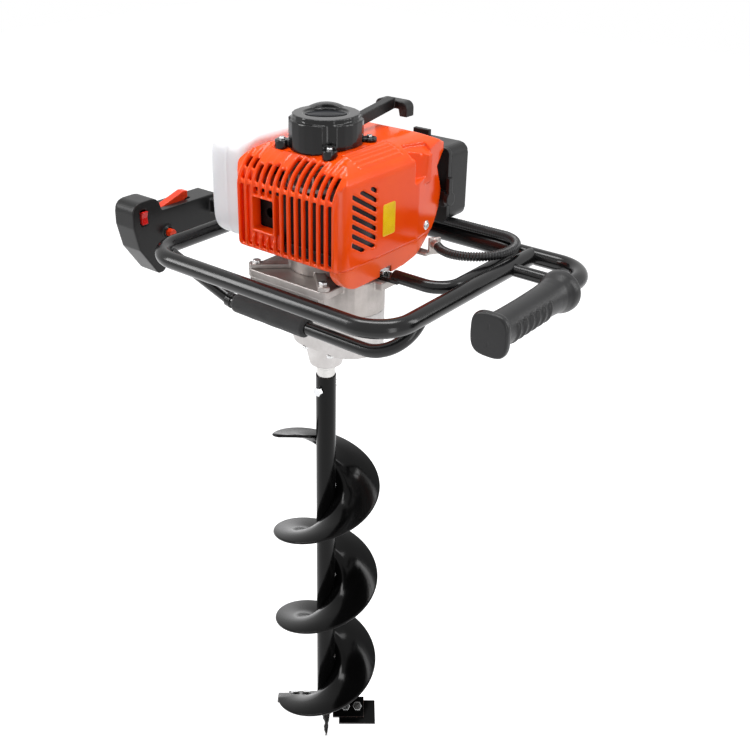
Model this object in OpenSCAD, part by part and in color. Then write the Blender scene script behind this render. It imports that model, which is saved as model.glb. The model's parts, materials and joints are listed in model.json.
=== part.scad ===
// One-person petrol earth auger: bit, reduction gear, two-stroke engine and carrying frame.
// Origin at the tip of the pilot point, +Z up along the bit, operator side -Y, starter on top.

/* [Bit] */
// Swept diameter of the flight
bit_d = 150; // [120:1:160]
// Length from the pilot tip to the top of the stem
bit_len = 643; // [600:1:700]
// Outside diameter of the stem tube
stem_d = 27; // [26:0.5:30]
// Rise of the flight in one turn
pitch = 155; // [130:1:160]
// Turns of the flight
turns = 3; // [2:1:3]
// Thickness of the flight plate
flight_t = 4; // [3:0.5:5]
// Length of the twisted pilot below the stem
pilot_len = 56; // [45:1:58]
// Width of the twisted pilot bar
pilot_w = 13; // [10:0.5:14]
// Slope of the cutting blades
blade_slope = 30; // [25:1:35]
// Thickness of a cutting blade
blade_t = 6; // [4:0.5:7]

/* [Output] */
// Diameter of the output shaft in the stem
shaft_d = 20; // [18:0.5:20]
// Visible neck between the stem and the hub
neck_h = 19; // [16:1:24]
// Height of the conical output hub
hub_h = 38; // [36:1:44]
// Diameter of the coupling bolt
coupling_d = 8; // [6:0.5:9]

/* [Gear case] */
// Height of the case from its floor to the top flange
case_h = 100; // [98:1:106]
// Wall of the case around the gears
case_wall = 6; // [5:0.5:8]
// Gear module
gear_m = 1.5; // [1.45:0.01:1.55]
// Teeth of each pinion
pinion_n = 10; // [10:1:10]
// Teeth of each driven gear
gear_n = 44; // [42:1:44]

/* [Engine] */
// Height of the clutch bell between the gear case and the crankcase
clutch_h = 41; // [41:1:44]
// Inside diameter of the clutch drum
drum_d = 78; // [74:1:80]
// Cylinder bore
bore_d = 40; // [38:0.5:41]
// Piston stroke
stroke = 30; // [28:0.5:31]
// Length of the connecting rod between its pins
rod_len = 38; // [37:0.5:40]
// Diameter over the cooling fins
fin_d = 72; // [66:1:73]
// Outside diameter of the flywheel fan
fan_d = 104; // [96:1:108]
// Width across the starter housing
starter_w = 88; // [84:1:92]
// Height of the starter housing above the shroud
starter_h = 36; // [34:1:42]

/* [Shroud] */
// Width of the shroud left of the crank
shroud_l = 83; // [80:1:84]
// Width of the shroud right of the crank
shroud_r = 86; // [85:1:90]
// Reach of the shroud in front of the crank
shroud_front = 80; // [78:1:84]
// Reach of the shroud behind the crank
shroud_back = 140; // [134:1:141]
// Wall of the shroud
shroud_wall = 3; // [2.5:0.1:3.5]
// Width of a slot between the guard ribs
slot_w = 6.4; // [5:0.1:7]
// Spacing of the guard ribs
rib_pitch = 11.4; // [10.5:0.1:12]

/* [Frame] */
// Outside diameter of the main frame tube
tube_d = 22; // [20:0.5:24]
// Wall of the frame tubes
tube_wall = 2; // [1.5:0.1:2.5]
// Outside diameter of the braces, arms and lower bar
brace_d = 16; // [14:0.5:18]
// Distance of the left side tube from the bit axis
loop_l = 188; // [184:1:194]
// Distance of the right side tube from the bit axis
loop_r = 191; // [187:1:196]
// Distance of the front tube from the bit axis
loop_front = 128; // [124:1:134]
// Distance of the rear tube from the bit axis
loop_back = 178; // [175:1:182]
// Distance of the throttle handle from the bit axis
handle_l = 268; // [262:1:274]
// Distance of the plain grip from the bit axis
handle_r = 273; // [267:1:279]
// Height of the frame plane above the gear case flange
frame_rise = 6; // [5:0.5:8]
// Drop of the lower bar below the frame plane
bar_drop = 41; // [38:1:44]

/* [Handles] */
// Diameter of the plain grip
grip_d = 38; // [36:0.5:42]
// Length of the plain grip
grip_len = 151; // [140:1:160]
// Thickness of the throttle handle across its halves
throttle_t = 38; // [36:1:42]
// Travel of the lock button
button_travel = 3.5; // [2:0.5:4]

/* [Hidden] */
fine = 64;
run = 0.05;
gap = 0.3;

// Levels along the bit axis
z_hub = bit_len + neck_h;
z_case = z_hub + hub_h;
z_flange = z_case + case_h;
z_frame = z_flange + frame_rise;
z_engine = z_flange + clutch_h;

// Frame
tube_r = tube_d / 2;
tube_in = tube_r - tube_wall;
brace_r = brace_d / 2;
brace_in = brace_r - tube_wall;
bend_l = 45;
bend_r = 45;
bend_handle = 42;
bend_bar = 50;
bend_arm = 30;
brace_y = loop_back - 56;
bar_y = -loop_front + 26.5;
bar_z = z_frame - bar_drop;
arm_y = 12;
arm_gap = 0.2;
grip_y = -46;
handle_end = -58;

// Bit
stem_r = stem_d / 2;
flight_z = pilot_len + 26;
flight_n = 48;
left_angle = 220;
blade_out = bit_d / 2;
bore_clear = 0.1;
coupling_z = bit_len - 20;

// Gear train: input pinion and output gear share the bit axis, the layshaft stands beside them
centres = gear_m * (pinion_n + gear_n) / 2;
pressure = 25;
backlash = 0.1;
tip_h = 0.8;
root_h = 1.1;
gear_tip = gear_m * (gear_n / 2 + tip_h);
case_in = gear_tip + 2.5;
case_out = case_in + case_wall;
floor_t = 10;
z_low_top = z_case + 40;
z_mid_top = z_low_top + 16;
roof_t = 20;
z_roof = z_flange - roof_t;
low_gear_z = z_case + floor_t + 2;
low_gear_h = 20;
high_gear_z = z_mid_top + 5;
high_gear_h = 14;
small_shaft = 12;
core_d = 10;
small_bearing = [28, 8];
top_bearing = [35, 11];
hub_bearing = [47, 14];
top_journal = 15;

// Flange of the gear case
flange_x = [-69, 93];
flange_y = [-74, 48];
flange_t = 10;
lug_in = 10;
plate_x = 60;
flange_pts = rrect(flange_x[0], flange_y[0], plate_x, flange_y[1], lug_in);
stud_d = 6;

// Engine
cyl_z = z_engine + 27;
case_r = 36;
crank_h = 54;
web_r = 26;
web_t = 7;
pin_gap = 14;
main_d = 15;
crank_pin = 12;
wrist_d = 9;
wrist_x = stroke / 2 + rod_len;
crown_x = wrist_x + 14;
deck_x = case_r + 4;
head_x = crown_x + 13;
bore_r = bore_d / 2;
barrel_r = bore_r + 5;
port_x = deck_x + 18;
port_y = 44;
plug_x = crown_x + 6;
plug_thread = 10;
plug_turn = 40;
fan_z = z_engine + crank_h + 13;
fan_h = 22;
z_shroud = z_engine - 9;
z_edge = z_shroud + 101;
z_top = z_edge + 24;
shoe_in = 12.4;
shoe_gap = 1;
shoe_h = 16;
drum_r = drum_d / 2;
drum_wall = 2;
drum_z = z_flange + 4;
bell_r = drum_r + drum_wall + 6;

// Muffler and its window in the guard
window_x = [-48, -12];
window_z = [cyl_z - 9, cyl_z + 31];
outlet_x = -36;
outlet_z = cyl_z + 7.5;
outlet_d = 12;

// Tank
tank_x = [-152, -shroud_l - 4];
tank_y = [-52, 96];
tank_z = [z_frame + tube_r + 1, z_top];
tank_wall = 2.5;
tank_round = [24, 26, 22];
cap_y = 44;
cap_z = tank_z[0] + 74;
neck_r = 15;
cap_r = 21;
cap_h = 17;
knurl = 1.2;

// Air filter
box_x = [4, 80];
box_y = [150, 190];
box_z = [z_frame + 26, z_edge - 2];

// Throttle handle outline, from the handle tube axis: along the tube, then height
hand_pts = concat(
    arc(-86, 28, 14, 180, 90),
    arc(-66, 28, 14, 90, 20),
    [[-49, 22], [52, 22], [52, -21], [-36, -21], [-43, -30]],
    arc(-58, -56, 11, 0, -120),
    [[-92, -25], [-100, 8]]
);
switch_y = -82;
switch_z = 20;
button_y = -43;
button_z = -10;
trigger_y = 14;
trigger_z = -17;
lockout_y = -38;
lockout_z = 17;
slot_half = 7;

// Route of the throttle conduit, chosen by hand in millimetres
conduit_d = 12;
conduit_bore = 8;
conduit_ribs = 190;
gland_at = [-240, 56, 812];
hose_bend = 52;
hose_loop = 48;
hose_x = 139;
hose_turn = 213;

// Output details
neck_d = 24;
collar_d = 28.5;
seat_d = 22;
seal_d = 34;
hub_r = 21.5;

// Blades and their carriers
carrier_out = 58;
carrier_w = 30;
carrier_t = 5;
blade_in = 20;
blade_bolt = 8;
blade_bolt_x = [30, 48];
blade_bolt_y = -15;

// Fasteners of the case, the clutch bell and the arms
case_screw = 5;
case_screws = [for (a = [-1, 1], b = [0, 1]) [b * centres, a * (case_in + case_wall / 2)]];
stud_x = [flange_x[0] + lug_in, plate_x - lug_in];
stud_y = [flange_y[0] + lug_in, flange_y[1] - lug_in];
arm_bolt = 8;
arm_bolt_x = [flange_x[0] + 11, flange_x[1] - 11];
tab_t = 5;
tab_w = 18;
bell_foot = 6;
leg_half = 7;
mid_x = (flange_x[0] + plate_x) / 2;
mid_y = (flange_y[0] + flange_y[1]) / 2;
leg_angle = atan2(stud_y[1] - mid_y, stud_x[1] - mid_x);

// Clutch and crank details
drum_floor = 3;
shoe_z = drum_z + drum_floor + 2;
guide_w = 10;
guide_y = 27;
chamber_h = 15;
deck_half = 30;
fan_shaft = 12;

// Cylinder details
fins = 6;
fin_pitch = 5.2;
fin_t = 1.8;
port_d = 15;
plug_seat = 38;
plug_hex = 16;
plug_tip = 9;
plug_end = plug_seat + 30;
boot_d = 14;
blades = 16;

// Exhaust and intake details
muffler_x = [-68, 72];
muffler_y = [-shroud_front + 18, -port_y];
muffler_z = [cyl_z - 26, cyl_z + 36];
muffler_wall = 2;
carb_y = [port_y + 14, port_y + 58];
base_y = [box_y[0] - 4, box_y[0] + 2];
ferrule_l = 10;
hose_z = z_frame + tube_r + conduit_d / 2 + 0.5;
hose_y = loop_back;
conduit_pts = concat(
    [gland_at, gland_at + [0, 22, 0], gland_at + [0, 44, 4]],
    [for (a = [0:22.5:90]) [gland_at[0] + hose_bend * (1 - cos(a)), hose_y - hose_bend * (1 - sin(a)),
        hose_z + 2 * sin(2 * a)]],
    [for (x = [-130:60:50]) [x, hose_y, hose_z]],
    [for (a = [-27:24:hose_turn]) hose_at(a)],
    [hose_at(hose_turn) + 12 * [cos(hose_turn), -sin(hose_turn), 0]]
);
function hose_at(a) = [
    hose_x + (a < 0 ? a : hose_loop * sin(a)), hose_y - hose_loop * (1 - cos(max(a, 0))),
    hose_z + 3 * sin(max(a, 0)) - max(a - 90, 0) / 80
];
conduit_end = conduit_pts[len(conduit_pts) - 1];
bracket_z = z_frame;
choke_pin = 6;
knob_pin = 6;
knob_x = 26;
knob_y = box_y[0] + 12;

// Shroud details
cross_z = z_edge - 22;
cross_h = 6;
shroud_corner = 20;
z_cowl = z_flange + 4;
cowl_front_r = 34;
chamfer_y = 75;
chamfer_in = 12;
rear_y = 28;
rear_z = z_shroud + 48;
rear_ry = shroud_back - rear_y;
rear_rz = rear_z - z_cowl;
crown_back = 108;
notch_y = shroud_back - 14;
notch_z = z_edge - 20;
horn_y = shroud_back + 2;
front_cy = -10;
front_cz = z_top - 50;
side_cx = 40;
side_cz = z_top - 28;
slot_back = -shroud_front + 20;
slot_x = (window_x[0] + window_x[1]) / 2;
slots_left = 3;
slots_right = 9;
louvres = 8;
louvre_y = [-55, -9];
louvre_z = [z_shroud + 16, z_shroud + 90];
louvre_pitch = 11.6;
louvre_slope = 31;
louvre_w = 4.6;
cowl_x = shroud_r - 18;
cowl_front = -shroud_front + 4;
boss_d = 16;
boss_y = 8;
boss_z = cyl_z - 12;
post_x = -shroud_l + 1;
intake_pipe = port_d + 10;

// Starter details
starter_corner = 40;
starter_foot = 5;
starter_ear = 37;
starter_screw = 4;
ear_well = 22;
ear_lug = 18;
dial_d = 54;
hump_r = 60;
hump_h = 4;
hump_at = [-22, 27];
handle_reach = 79;
handle_rise = 10;
nose_d = 22;
nose_out = 4;
reel_r = 36;
reel_z = z_top + 7;
post_d = 14;
pull_z = z_top + 13;

// Tank and cap details
filler_h = 8;
gasket_t = 2;

// Handle details
foam_len = 116;
kink_x = foam_len / 2 + 10;
kink = 18;
join = asin((bend_l - loop_front - bar_y) / bend_l);
foam_r = 13;
button_d = 11;
gland_x = gland_at[0];
gland_y = gland_at[1];
gland_z = gland_at[2];

function arc(cx, cy, r, a0, a1, n = 6) =
    [for (i = [0:n]) let (a = a0 + (a1 - a0) * i / n) [cx + r * cos(a), cy + r * sin(a)]];
function earc(cx, cy, rx, ry, a0, a1, n = 8) =
    [for (i = [0:n]) let (a = a0 + (a1 - a0) * i / n) [cx + rx * cos(a), cy + ry * sin(a)]];
function rrect(x0, y0, x1, y1, r, n = 5) = concat(
    arc(x1 - r, y1 - r, r, 0, 90, n), arc(x0 + r, y1 - r, r, 90, 180, n),
    arc(x0 + r, y0 + r, r, 180, 270, n), arc(x1 - r, y0 + r, r, 270, 360, n));
function stadium(r, n = 16) = concat(arc(centres, 0, r, -90, 90, n), arc(0, 0, r, 90, 270, n));

// Extrusions of an outline upwards, along X from (y, z) points, and along Y from (x, z) points
module up(pts, z0, z1) {
    translate([0, 0, z0]) linear_extrude(height = z1 - z0) polygon(pts);
}
module along_x(pts, x0, x1) {
    translate([x0, 0, 0]) rotate([90, 0, 90]) linear_extrude(height = x1 - x0) polygon(pts);
}
module along_y(pts, y0, y1) {
    translate([0, y1, 0]) rotate([90, 0, 0]) linear_extrude(height = y1 - y0) polygon(pts);
}

// Round bars and boxes placed by their limits
module rod_z(d, z0, z1, x = 0, y = 0) {
    translate([x, y, z0]) cylinder(d = d, h = z1 - z0, $fn = fine);
}
module rod_x(d, x0, x1, y, z) {
    translate([x0, y, z]) rotate([0, 90, 0]) cylinder(d = d, h = x1 - x0, $fn = fine);
}
module rod_y(d, y0, y1, x, z) {
    translate([x, y1, z]) rotate([90, 0, 0]) cylinder(d = d, h = y1 - y0, $fn = fine);
}
module box(x, y, z) {
    translate([x[0], y[0], z[0]]) cube([x[1] - x[0], y[1] - y[0], z[1] - z[0]]);
}
module ring_z(d_out, d_in, z0, z1, x = 0, y = 0) {
    difference() {
        rod_z(d_out, z0, z1, x, y);
        rod_z(d_in, z0 - 1, z1 + 1, x, y);
    }
}
module bolt_z(d, z_seat, grip, x, y) {
    rod_z(d, z_seat - grip, z_seat, x, y);
    translate([x, y, z_seat]) cylinder(d = d * 1.8, h = d * 0.65, $fn = 6);
}

// Straight and bent stretches of hollow tube, lying in the XY plane
module straight(r, r_in, len) {
    rotate([0, 90, 0]) difference() {
        cylinder(r = r, h = len, $fn = fine);
        translate([0, 0, -1]) cylinder(r = r_in, h = len + 2, $fn = fine);
    }
}
module elbow(r, r_in, bend, a0, a1) {
    rotate([0, 0, a0]) rotate_extrude(angle = a1 - a0, $fn = 96) translate([bend, 0]) difference() {
        circle(r = r, $fn = fine);
        circle(r = r_in, $fn = fine);
    }
}

// Involute teeth from the root to the tip, thinned by the backlash
function inv(a) = tan(a) * 180 / PI - a;
function half_tooth(n, rho) = let (base = gear_m * n / 2 * cos(pressure))
    90 / n * (1 - backlash) + inv(pressure) - (rho > base ? inv(acos(base / rho)) : 0);
function flank(n) = let (r = gear_m * n / 2, base = r * cos(pressure), root = r - root_h * gear_m)
    [root, root < base ? base : (root + r) / 2, r, r + tip_h * gear_m];
function gear_pts(n) = [
    for (k = [0:n - 1], s = [-1, 1], i = [0:3])
        let (rho = flank(n)[s < 0 ? i : 3 - i], a = k * 360 / n + s * half_tooth(n, rho))
            [rho * cos(a), rho * sin(a)]
];
module gear(n, z0, h, turn = 0) {
    translate([0, 0, z0]) rotate([0, 0, turn]) linear_extrude(height = h) polygon(gear_pts(n));
}

// Bit
module pilot_point() {
    color("dimgray") {
        rod_z(shaft_d, pilot_len, pilot_len + 24);
        translate([0, 0, pilot_len]) mirror([0, 0, 1]) linear_extrude(
            height = pilot_len, twist = 420, scale = 0.28, slices = 28, $fn = 24
        ) square([pilot_w, pilot_w * 0.5], center = true);
    }
}

// One of the two flat carriers or blades at the foot of the stem, from its radial reach
module blade_plate(side, r0, r1, y0, y1, z0, z1) {
    rotate([0, 0, left_angle + side * 180]) translate([0, -gap, flight_z - flight_t / 2])
        rotate([blade_slope, 0, 0]) box([r0, r1], [y0, y1], [z0, z1]);
}
module blade_rod(side, d, x, z0, z1, n) {
    rotate([0, 0, left_angle + side * 180]) translate([0, -gap, flight_z - flight_t / 2])
        rotate([blade_slope, 0, 0]) translate([x, blade_bolt_y, z0]) cylinder(d = d, h = z1 - z0, $fn = n);
}
module stem_tube() {
    color("black") difference() {
        union() {
            rod_z(stem_d, pilot_len, bit_len);
            for (side = [0, 1]) blade_plate(side, stem_r - 3, carrier_out, -carrier_w, 0, -carrier_t, 0);
        }
        rod_z(shaft_d, pilot_len - 1, pilot_len + 24);
        rod_z(shaft_d + 2 * bore_clear, pilot_len + 24, bit_len + 1);
        rod_y(coupling_d, -stem_d, stem_d, 0, coupling_z);
        for (side = [0, 1], x = blade_bolt_x) blade_rod(side, blade_bolt, x, -20, 10, fine);
    }
}

// The flight is a helical plate: each ring holds its four corners
flight_in = stem_r / cos(180 / flight_n) + 0.02;
function flight_ring(k) = let (a = left_angle + 360 * k / flight_n, z = flight_z + pitch * k / flight_n)
    [for (c = [[flight_in, -1], [bit_d / 2, -1], [bit_d / 2, 1], [flight_in, 1]])
        [c[0] * cos(a), c[0] * sin(a), z + c[1] * flight_t / 2]];
module auger_flight() {
    rings = turns * flight_n;
    pts = [for (k = [0:rings], p = flight_ring(k)) p];
    walls = [for (k = [0:rings - 1], j = [0:3]) let (a = 4 * k + j, b = 4 * k + (j + 1) % 4)
        each [[a, b, b + 4], [a, b + 4, a + 4]]];
    last = 4 * rings;
    caps = [[3, 2, 1], [3, 1, 0], [last, last + 1, last + 2], [last, last + 2, last + 3]];
    color("black") polyhedron(points = pts, faces = concat(walls, caps));
}
module cutting_blades() {
    color("black") difference() {
        for (side = [0, 1])
            blade_plate(side, blade_in, blade_out, -carrier_w - 8, -4, -carrier_t - blade_t, -carrier_t);
        for (side = [0, 1], x = blade_bolt_x) blade_rod(side, blade_bolt, x, -20, 10, fine);
    }
}
module bit_bolts() {
    color("silver") {
        for (side = [0, 1], x = blade_bolt_x) {
            blade_rod(side, blade_bolt, x, -carrier_t - blade_t, 0, fine);
            blade_rod(side, blade_bolt * 1.7, x, 0, 4, 6);
            blade_rod(side, blade_bolt * 1.5, x, -carrier_t - blade_t - 3, -carrier_t - blade_t, fine);
        }
        rod_y(coupling_d, -stem_r - 4, stem_r + 6, 0, coupling_z);
        translate([0, -stem_r - 0.2, coupling_z]) rotate([90, 0, 0]) cylinder(d = 13, h = 5, $fn = 6);
        translate([0, stem_r + 6.2, coupling_z]) rotate([90, 0, 0]) cylinder(d = 13, h = 6, $fn = 6);
    }
}

// Output shaft, gears and clutch drum
module output_shaft() {
    color("dimgray") difference() {
        union() {
            rod_z(shaft_d, bit_len - 50, z_case + floor_t);
            rod_z(neck_d, bit_len, z_hub - 0.4);
            rod_z(collar_d, z_hub - 6, z_hub - 0.4);
            rod_z(seat_d, z_case - 4, low_gear_z + low_gear_h);
            rod_z(top_journal, low_gear_z + low_gear_h - 1, z_low_top + 12);
        }
        rod_y(coupling_d, -stem_d, stem_d, 0, coupling_z);
    }
}
module output_gear() {
    color("silver") difference() {
        gear(gear_n, low_gear_z, low_gear_h);
        rod_z(seat_d, low_gear_z - 1, low_gear_z + low_gear_h + 1);
    }
}
module layshaft() {
    color("silver") translate([centres, 0, 0]) {
        gear(pinion_n, low_gear_z - 0.5, low_gear_h + 1, 180 / pinion_n);
        gear(gear_n, high_gear_z, high_gear_h, 180 / gear_n);
        rod_z(core_d, z_case + 2.5, z_roof + small_bearing[1] - 0.5);
        rod_z(small_shaft - 2 * run, z_case + 2.5, z_case + floor_t);
        rod_z(small_shaft - 2 * run, z_low_top, high_gear_z + 1);
        rod_z(small_shaft - 2 * run, high_gear_z + high_gear_h - 1, z_roof + small_bearing[1] - 0.5);
    }
}
module input_pinion() {
    color("silver") {
        gear(pinion_n, high_gear_z - 0.5, high_gear_h + 1);
        rod_z(core_d, high_gear_z, drum_z);
        rod_z(small_shaft - 2 * run, z_roof, drum_z + drum_floor);
    }
}
module clutch_drum() {
    color("gray") difference() {
        rod_z(drum_d + 2 * drum_wall, drum_z, shoe_z + shoe_h + 2);
        rod_z(drum_d, drum_z + drum_floor, shoe_z + shoe_h + 3);
        rod_z(small_shaft - 2 * run, drum_z - 1, drum_z + drum_floor + 1);
    }
}

// Gear case
module gear_case_lower() {
    color("gainsboro") difference() {
        union() {
            up(stadium(case_out), z_case, z_low_top);
            translate([0, 0, z_hub]) cylinder(r1 = hub_r, r2 = hub_r + 8, h = hub_h, $fn = fine);
        }
        up(stadium(case_in), z_case + floor_t, z_low_top + 1);
        rod_z(hub_bearing[0], z_case - hub_bearing[1] - 4, z_case + floor_t + 1);
        rod_z(seal_d, z_hub + 1, z_case);
        rod_z(collar_d - 6, z_hub - 1, z_case);
        rod_z(small_bearing[0], z_case + floor_t - small_bearing[1], z_case + floor_t + 1, centres);
        case_holes();
    }
}
module gear_case_middle() {
    color("gainsboro") difference() {
        up(stadium(case_out), z_low_top, z_mid_top);
        rod_z(top_bearing[0], z_low_top - 1, z_low_top + 12);
        rod_z(small_shaft + 10, z_low_top - 1, z_mid_top + 1, centres);
        case_holes();
    }
}
module gear_case_upper() {
    color("silver") difference() {
        union() {
            up(stadium(case_out), z_mid_top, z_flange);
            up(flange_pts, z_flange - flange_t, z_flange);
            box([plate_x - lug_in, flange_x[1]], [arm_y - tab_w, arm_y + tab_w],
                [z_flange - flange_t, z_flange]);
        }
        up(stadium(case_in), z_mid_top - 1, z_roof);
        rod_z(small_shaft + 4, z_roof - 1, z_flange + 1);
        rod_z(small_bearing[0], z_roof + 2, z_flange + 1);
        rod_z(small_bearing[0], z_roof - 1, z_roof + small_bearing[1], centres);
        case_holes();
        for (x = stud_x, y = stud_y) rod_z(stud_d + 2 * bore_clear, z_flange - 11, z_flange + 1, x, y);
        for (x = arm_bolt_x) rod_z(arm_bolt + 2 * bore_clear, z_flange - 11, z_flange + 1, x, arm_y);
    }
}
module case_holes() {
    for (p = case_screws) rod_z(case_screw + 2 * bore_clear, z_case - 1, z_mid_top + 12, p[0], p[1]);
}
module output_seal() {
    color("black") ring_z(seal_d, shaft_d + 2 * gap, z_hub + 1, z_hub + 8);
}
module bearing(size, d_in, z0, x = 0) {
    ring_z(size[0], d_in, z0, z0 + size[1], x);
}
module ball_bearings() {
    color("lightsteelblue") {
        bearing(hub_bearing, shaft_d + 2 * run, z_case - hub_bearing[1] - 4);
        bearing(top_bearing, top_journal + 2 * run, z_low_top + 1);
        bearing(small_bearing, small_shaft, z_case + floor_t - small_bearing[1], centres);
        bearing(small_bearing, small_shaft, z_roof, centres);
        bearing(small_bearing, small_shaft, z_roof + 2);
        bearing(small_bearing, small_shaft, z_roof + 2 + small_bearing[1]);
        bearing(top_bearing, main_d, cyl_z - chamber_h - top_bearing[1]);
        bearing(top_bearing, main_d, cyl_z + chamber_h);
    }
}
module fasteners() {
    color("silver") {
        for (x = stud_x, y = stud_y) bolt_z(stud_d, z_flange + bell_foot, bell_foot + flange_t, x, y);
        for (x = arm_bolt_x) bolt_z(arm_bolt, z_flange + tab_t, tab_t + flange_t, x, arm_y);
        for (p = case_screws) mirror([0, 0, 1]) bolt_z(case_screw, -z_case, 62, p[0], p[1]);
        ears() bolt_z(starter_screw, z_top + starter_foot, starter_foot + 12, 0, 0);
    }
}

// Clutch and crank
module clutch_bell() {
    color("silver") difference() {
        union() {
            intersection() {
                up(flange_pts, z_flange, z_flange + bell_foot);
                for (s = [-1, 1]) translate([mid_x, mid_y, 0]) rotate([0, 0, s * leg_angle])
                    box([-130, 130], [-leg_half, leg_half], [z_flange, z_flange + bell_foot]);
            }
            rod_z(2 * bell_r, z_flange, z_engine);
        }
        box([flange_x[0], flange_x[0] + 22], [arm_y - tab_w / 2 - 1, arm_y + tab_w / 2 + 1],
            [z_flange - 1, z_flange + bell_foot + 1]);
        rod_z(2 * bell_r - 7, z_flange - 1, z_engine - 4);
        rod_z(main_d + 6, z_engine - 5, z_engine + 1);
        for (x = stud_x, y = stud_y) rod_z(stud_d + 2 * bore_clear, z_flange - 1, z_flange + 11, x, y);
    }
}
module clutch_shoe(side) {
    color("dimgray") difference() {
        intersection() {
            rod_z(drum_d - 2 * shoe_gap, shoe_z, shoe_z + shoe_h);
            mirror([0, side, 0]) box([-drum_r, drum_r], [1.5, drum_r], [shoe_z, shoe_z + shoe_h]);
        }
        rod_z(2 * shoe_in, shoe_z - 1, shoe_z + shoe_h + 1);
        box([-guide_w / 2 - run, guide_w / 2 + run], [-guide_y - 1.5, guide_y + 1.5],
            [shoe_z - 1, shoe_z + shoe_h + 1]);
    }
}
module clutch_shoe_front() {
    clutch_shoe(1);
}
module clutch_shoe_back() {
    clutch_shoe(0);
}
module clutch_hub() {
    color("gray") difference() {
        union() {
            rod_z(2 * (shoe_in - gap), shoe_z, shoe_z + shoe_h);
            box([-guide_w / 2, guide_w / 2], [-guide_y, guide_y], [shoe_z, shoe_z + shoe_h]);
        }
        rod_z(main_d - 2 * run, shoe_z - 1, shoe_z + shoe_h + 1);
    }
}
module crankcase(side) {
    z0 = side > 0 ? cyl_z : z_engine;
    difference() {
        union() {
            rod_z(2 * case_r, z0, z0 + crank_h / 2);
            box([0, deck_x], [-deck_half, deck_half], [z0, z0 + crank_h / 2]);
        }
        rod_z(2 * web_r + 5, cyl_z - chamber_h, cyl_z + chamber_h);
        rod_z(top_bearing[0], cyl_z - chamber_h - top_bearing[1], cyl_z + chamber_h + top_bearing[1]);
        rod_z(main_d + 4, z_engine - 1, z_engine + crank_h + 1);
        rod_x(bore_d, 0, deck_x + 1, 0, cyl_z);
    }
}
module crankcase_lower() {
    color("silver") crankcase(-1);
}
module crankcase_upper() {
    color("silver") crankcase(1);
}
module crankshaft() {
    color("dimgray") {
        rod_z(main_d - 2 * run, shoe_z, cyl_z - pin_gap / 2);
        for (z = [cyl_z - pin_gap / 2 - web_t, cyl_z + pin_gap / 2]) rod_z(2 * web_r, z, z + web_t);
        rod_z(crank_pin, cyl_z - pin_gap / 2, cyl_z + pin_gap / 2, stroke / 2);
        rod_z(main_d - 2 * run, cyl_z + pin_gap / 2, fan_z);
        rod_z(fan_shaft, fan_z, fan_z + fan_h + 6);
    }
}
module connecting_rod() {
    color("gray") difference() {
        union() {
            rod_z(crank_pin + 8, cyl_z - 6, cyl_z + 6, stroke / 2);
            rod_z(wrist_d + 6, cyl_z - 6, cyl_z + 6, wrist_x);
            box([stroke / 2, wrist_x], [-3.5, 3.5], [cyl_z - 5, cyl_z + 5]);
        }
        rod_z(crank_pin + 2 * run, cyl_z - 7, cyl_z + 7, stroke / 2);
        rod_z(wrist_d + 2 * run, cyl_z - 7, cyl_z + 7, wrist_x);
    }
}
module piston() {
    color("lightgray") difference() {
        rod_x(bore_d - 2 * run, crown_x - 24, crown_x, 0, cyl_z);
        rod_x(bore_d - 8, crown_x - 25, crown_x - 5, 0, cyl_z);
        rod_z(wrist_d, cyl_z - bore_r, cyl_z + bore_r, wrist_x);
    }
}
module wrist_pin() {
    color("silver") rod_z(wrist_d, cyl_z - bore_r + 3, cyl_z + bore_r - 3, wrist_x);
}
module cylinder_head() {
    color("silver") difference() {
        union() {
            rod_x(2 * barrel_r, deck_x, head_x, 0, cyl_z);
            for (i = [0:fins - 1]) let (x = deck_x + 8 + i * fin_pitch)
                rod_x(fin_d, x, x + fin_t, 0, cyl_z);
            box([deck_x, deck_x + 5], [-deck_half, deck_half],
                [cyl_z - deck_half + 4, cyl_z + deck_half - 4]);
            rod_y(port_d + 8, -port_y, port_y, port_x, cyl_z);
            at_plug() rod_y(plug_thread + 8, 0, plug_seat, 0, 0);
        }
        rod_x(bore_d, deck_x - 1, crown_x + 3, 0, cyl_z);
        rod_y(port_d, -port_y - 1, port_y + 1, port_x, cyl_z);
        at_plug() rod_y(plug_thread, 0, plug_seat + 1, 0, 0);
    }
}
module at_plug() {
    translate([plug_x, 0, cyl_z]) rotate([plug_turn, 0, 0]) children();
}
module spark_plug() {
    color("white") at_plug() {
        rod_y(plug_thread, plug_seat - 20, plug_seat, 0, 0);
        translate([0, plug_seat + 8, 0]) rotate([90, 0, 0]) cylinder(d = plug_hex, h = 8, $fn = 6);
        rod_y(plug_tip, plug_seat + 8, plug_end, 0, 0);
    }
}
module plug_boot() {
    color("black") at_plug() difference() {
        rod_y(boot_d, plug_seat + 12, plug_end + 4, 0, 0);
        rod_y(plug_tip, plug_seat + 11, plug_end, 0, 0);
    }
}
module flywheel() {
    color("lightgray") difference() {
        union() {
            rod_z(fan_d, fan_z, fan_z + 5);
            rod_z(28, fan_z, fan_z + fan_h);
            for (i = [0:blades - 1]) rotate([0, 0, i * 360 / blades])
                box([13, fan_d / 2 - 2], [-1.2, 1.2], [fan_z + 4, fan_z + fan_h - 2]);
        }
        rod_z(fan_shaft, fan_z - 1, fan_z + fan_h + 1);
    }
}
module ignition_coil() {
    color("black") {
        box([-shroud_l + 6, -fan_d / 2 - 2], [-14, 14], [fan_z - 2, fan_z + 13]);
        box([-shroud_l + 10, -20], [-6, 6], [z_engine + crank_h, fan_z - 2]);
    }
}

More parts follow.
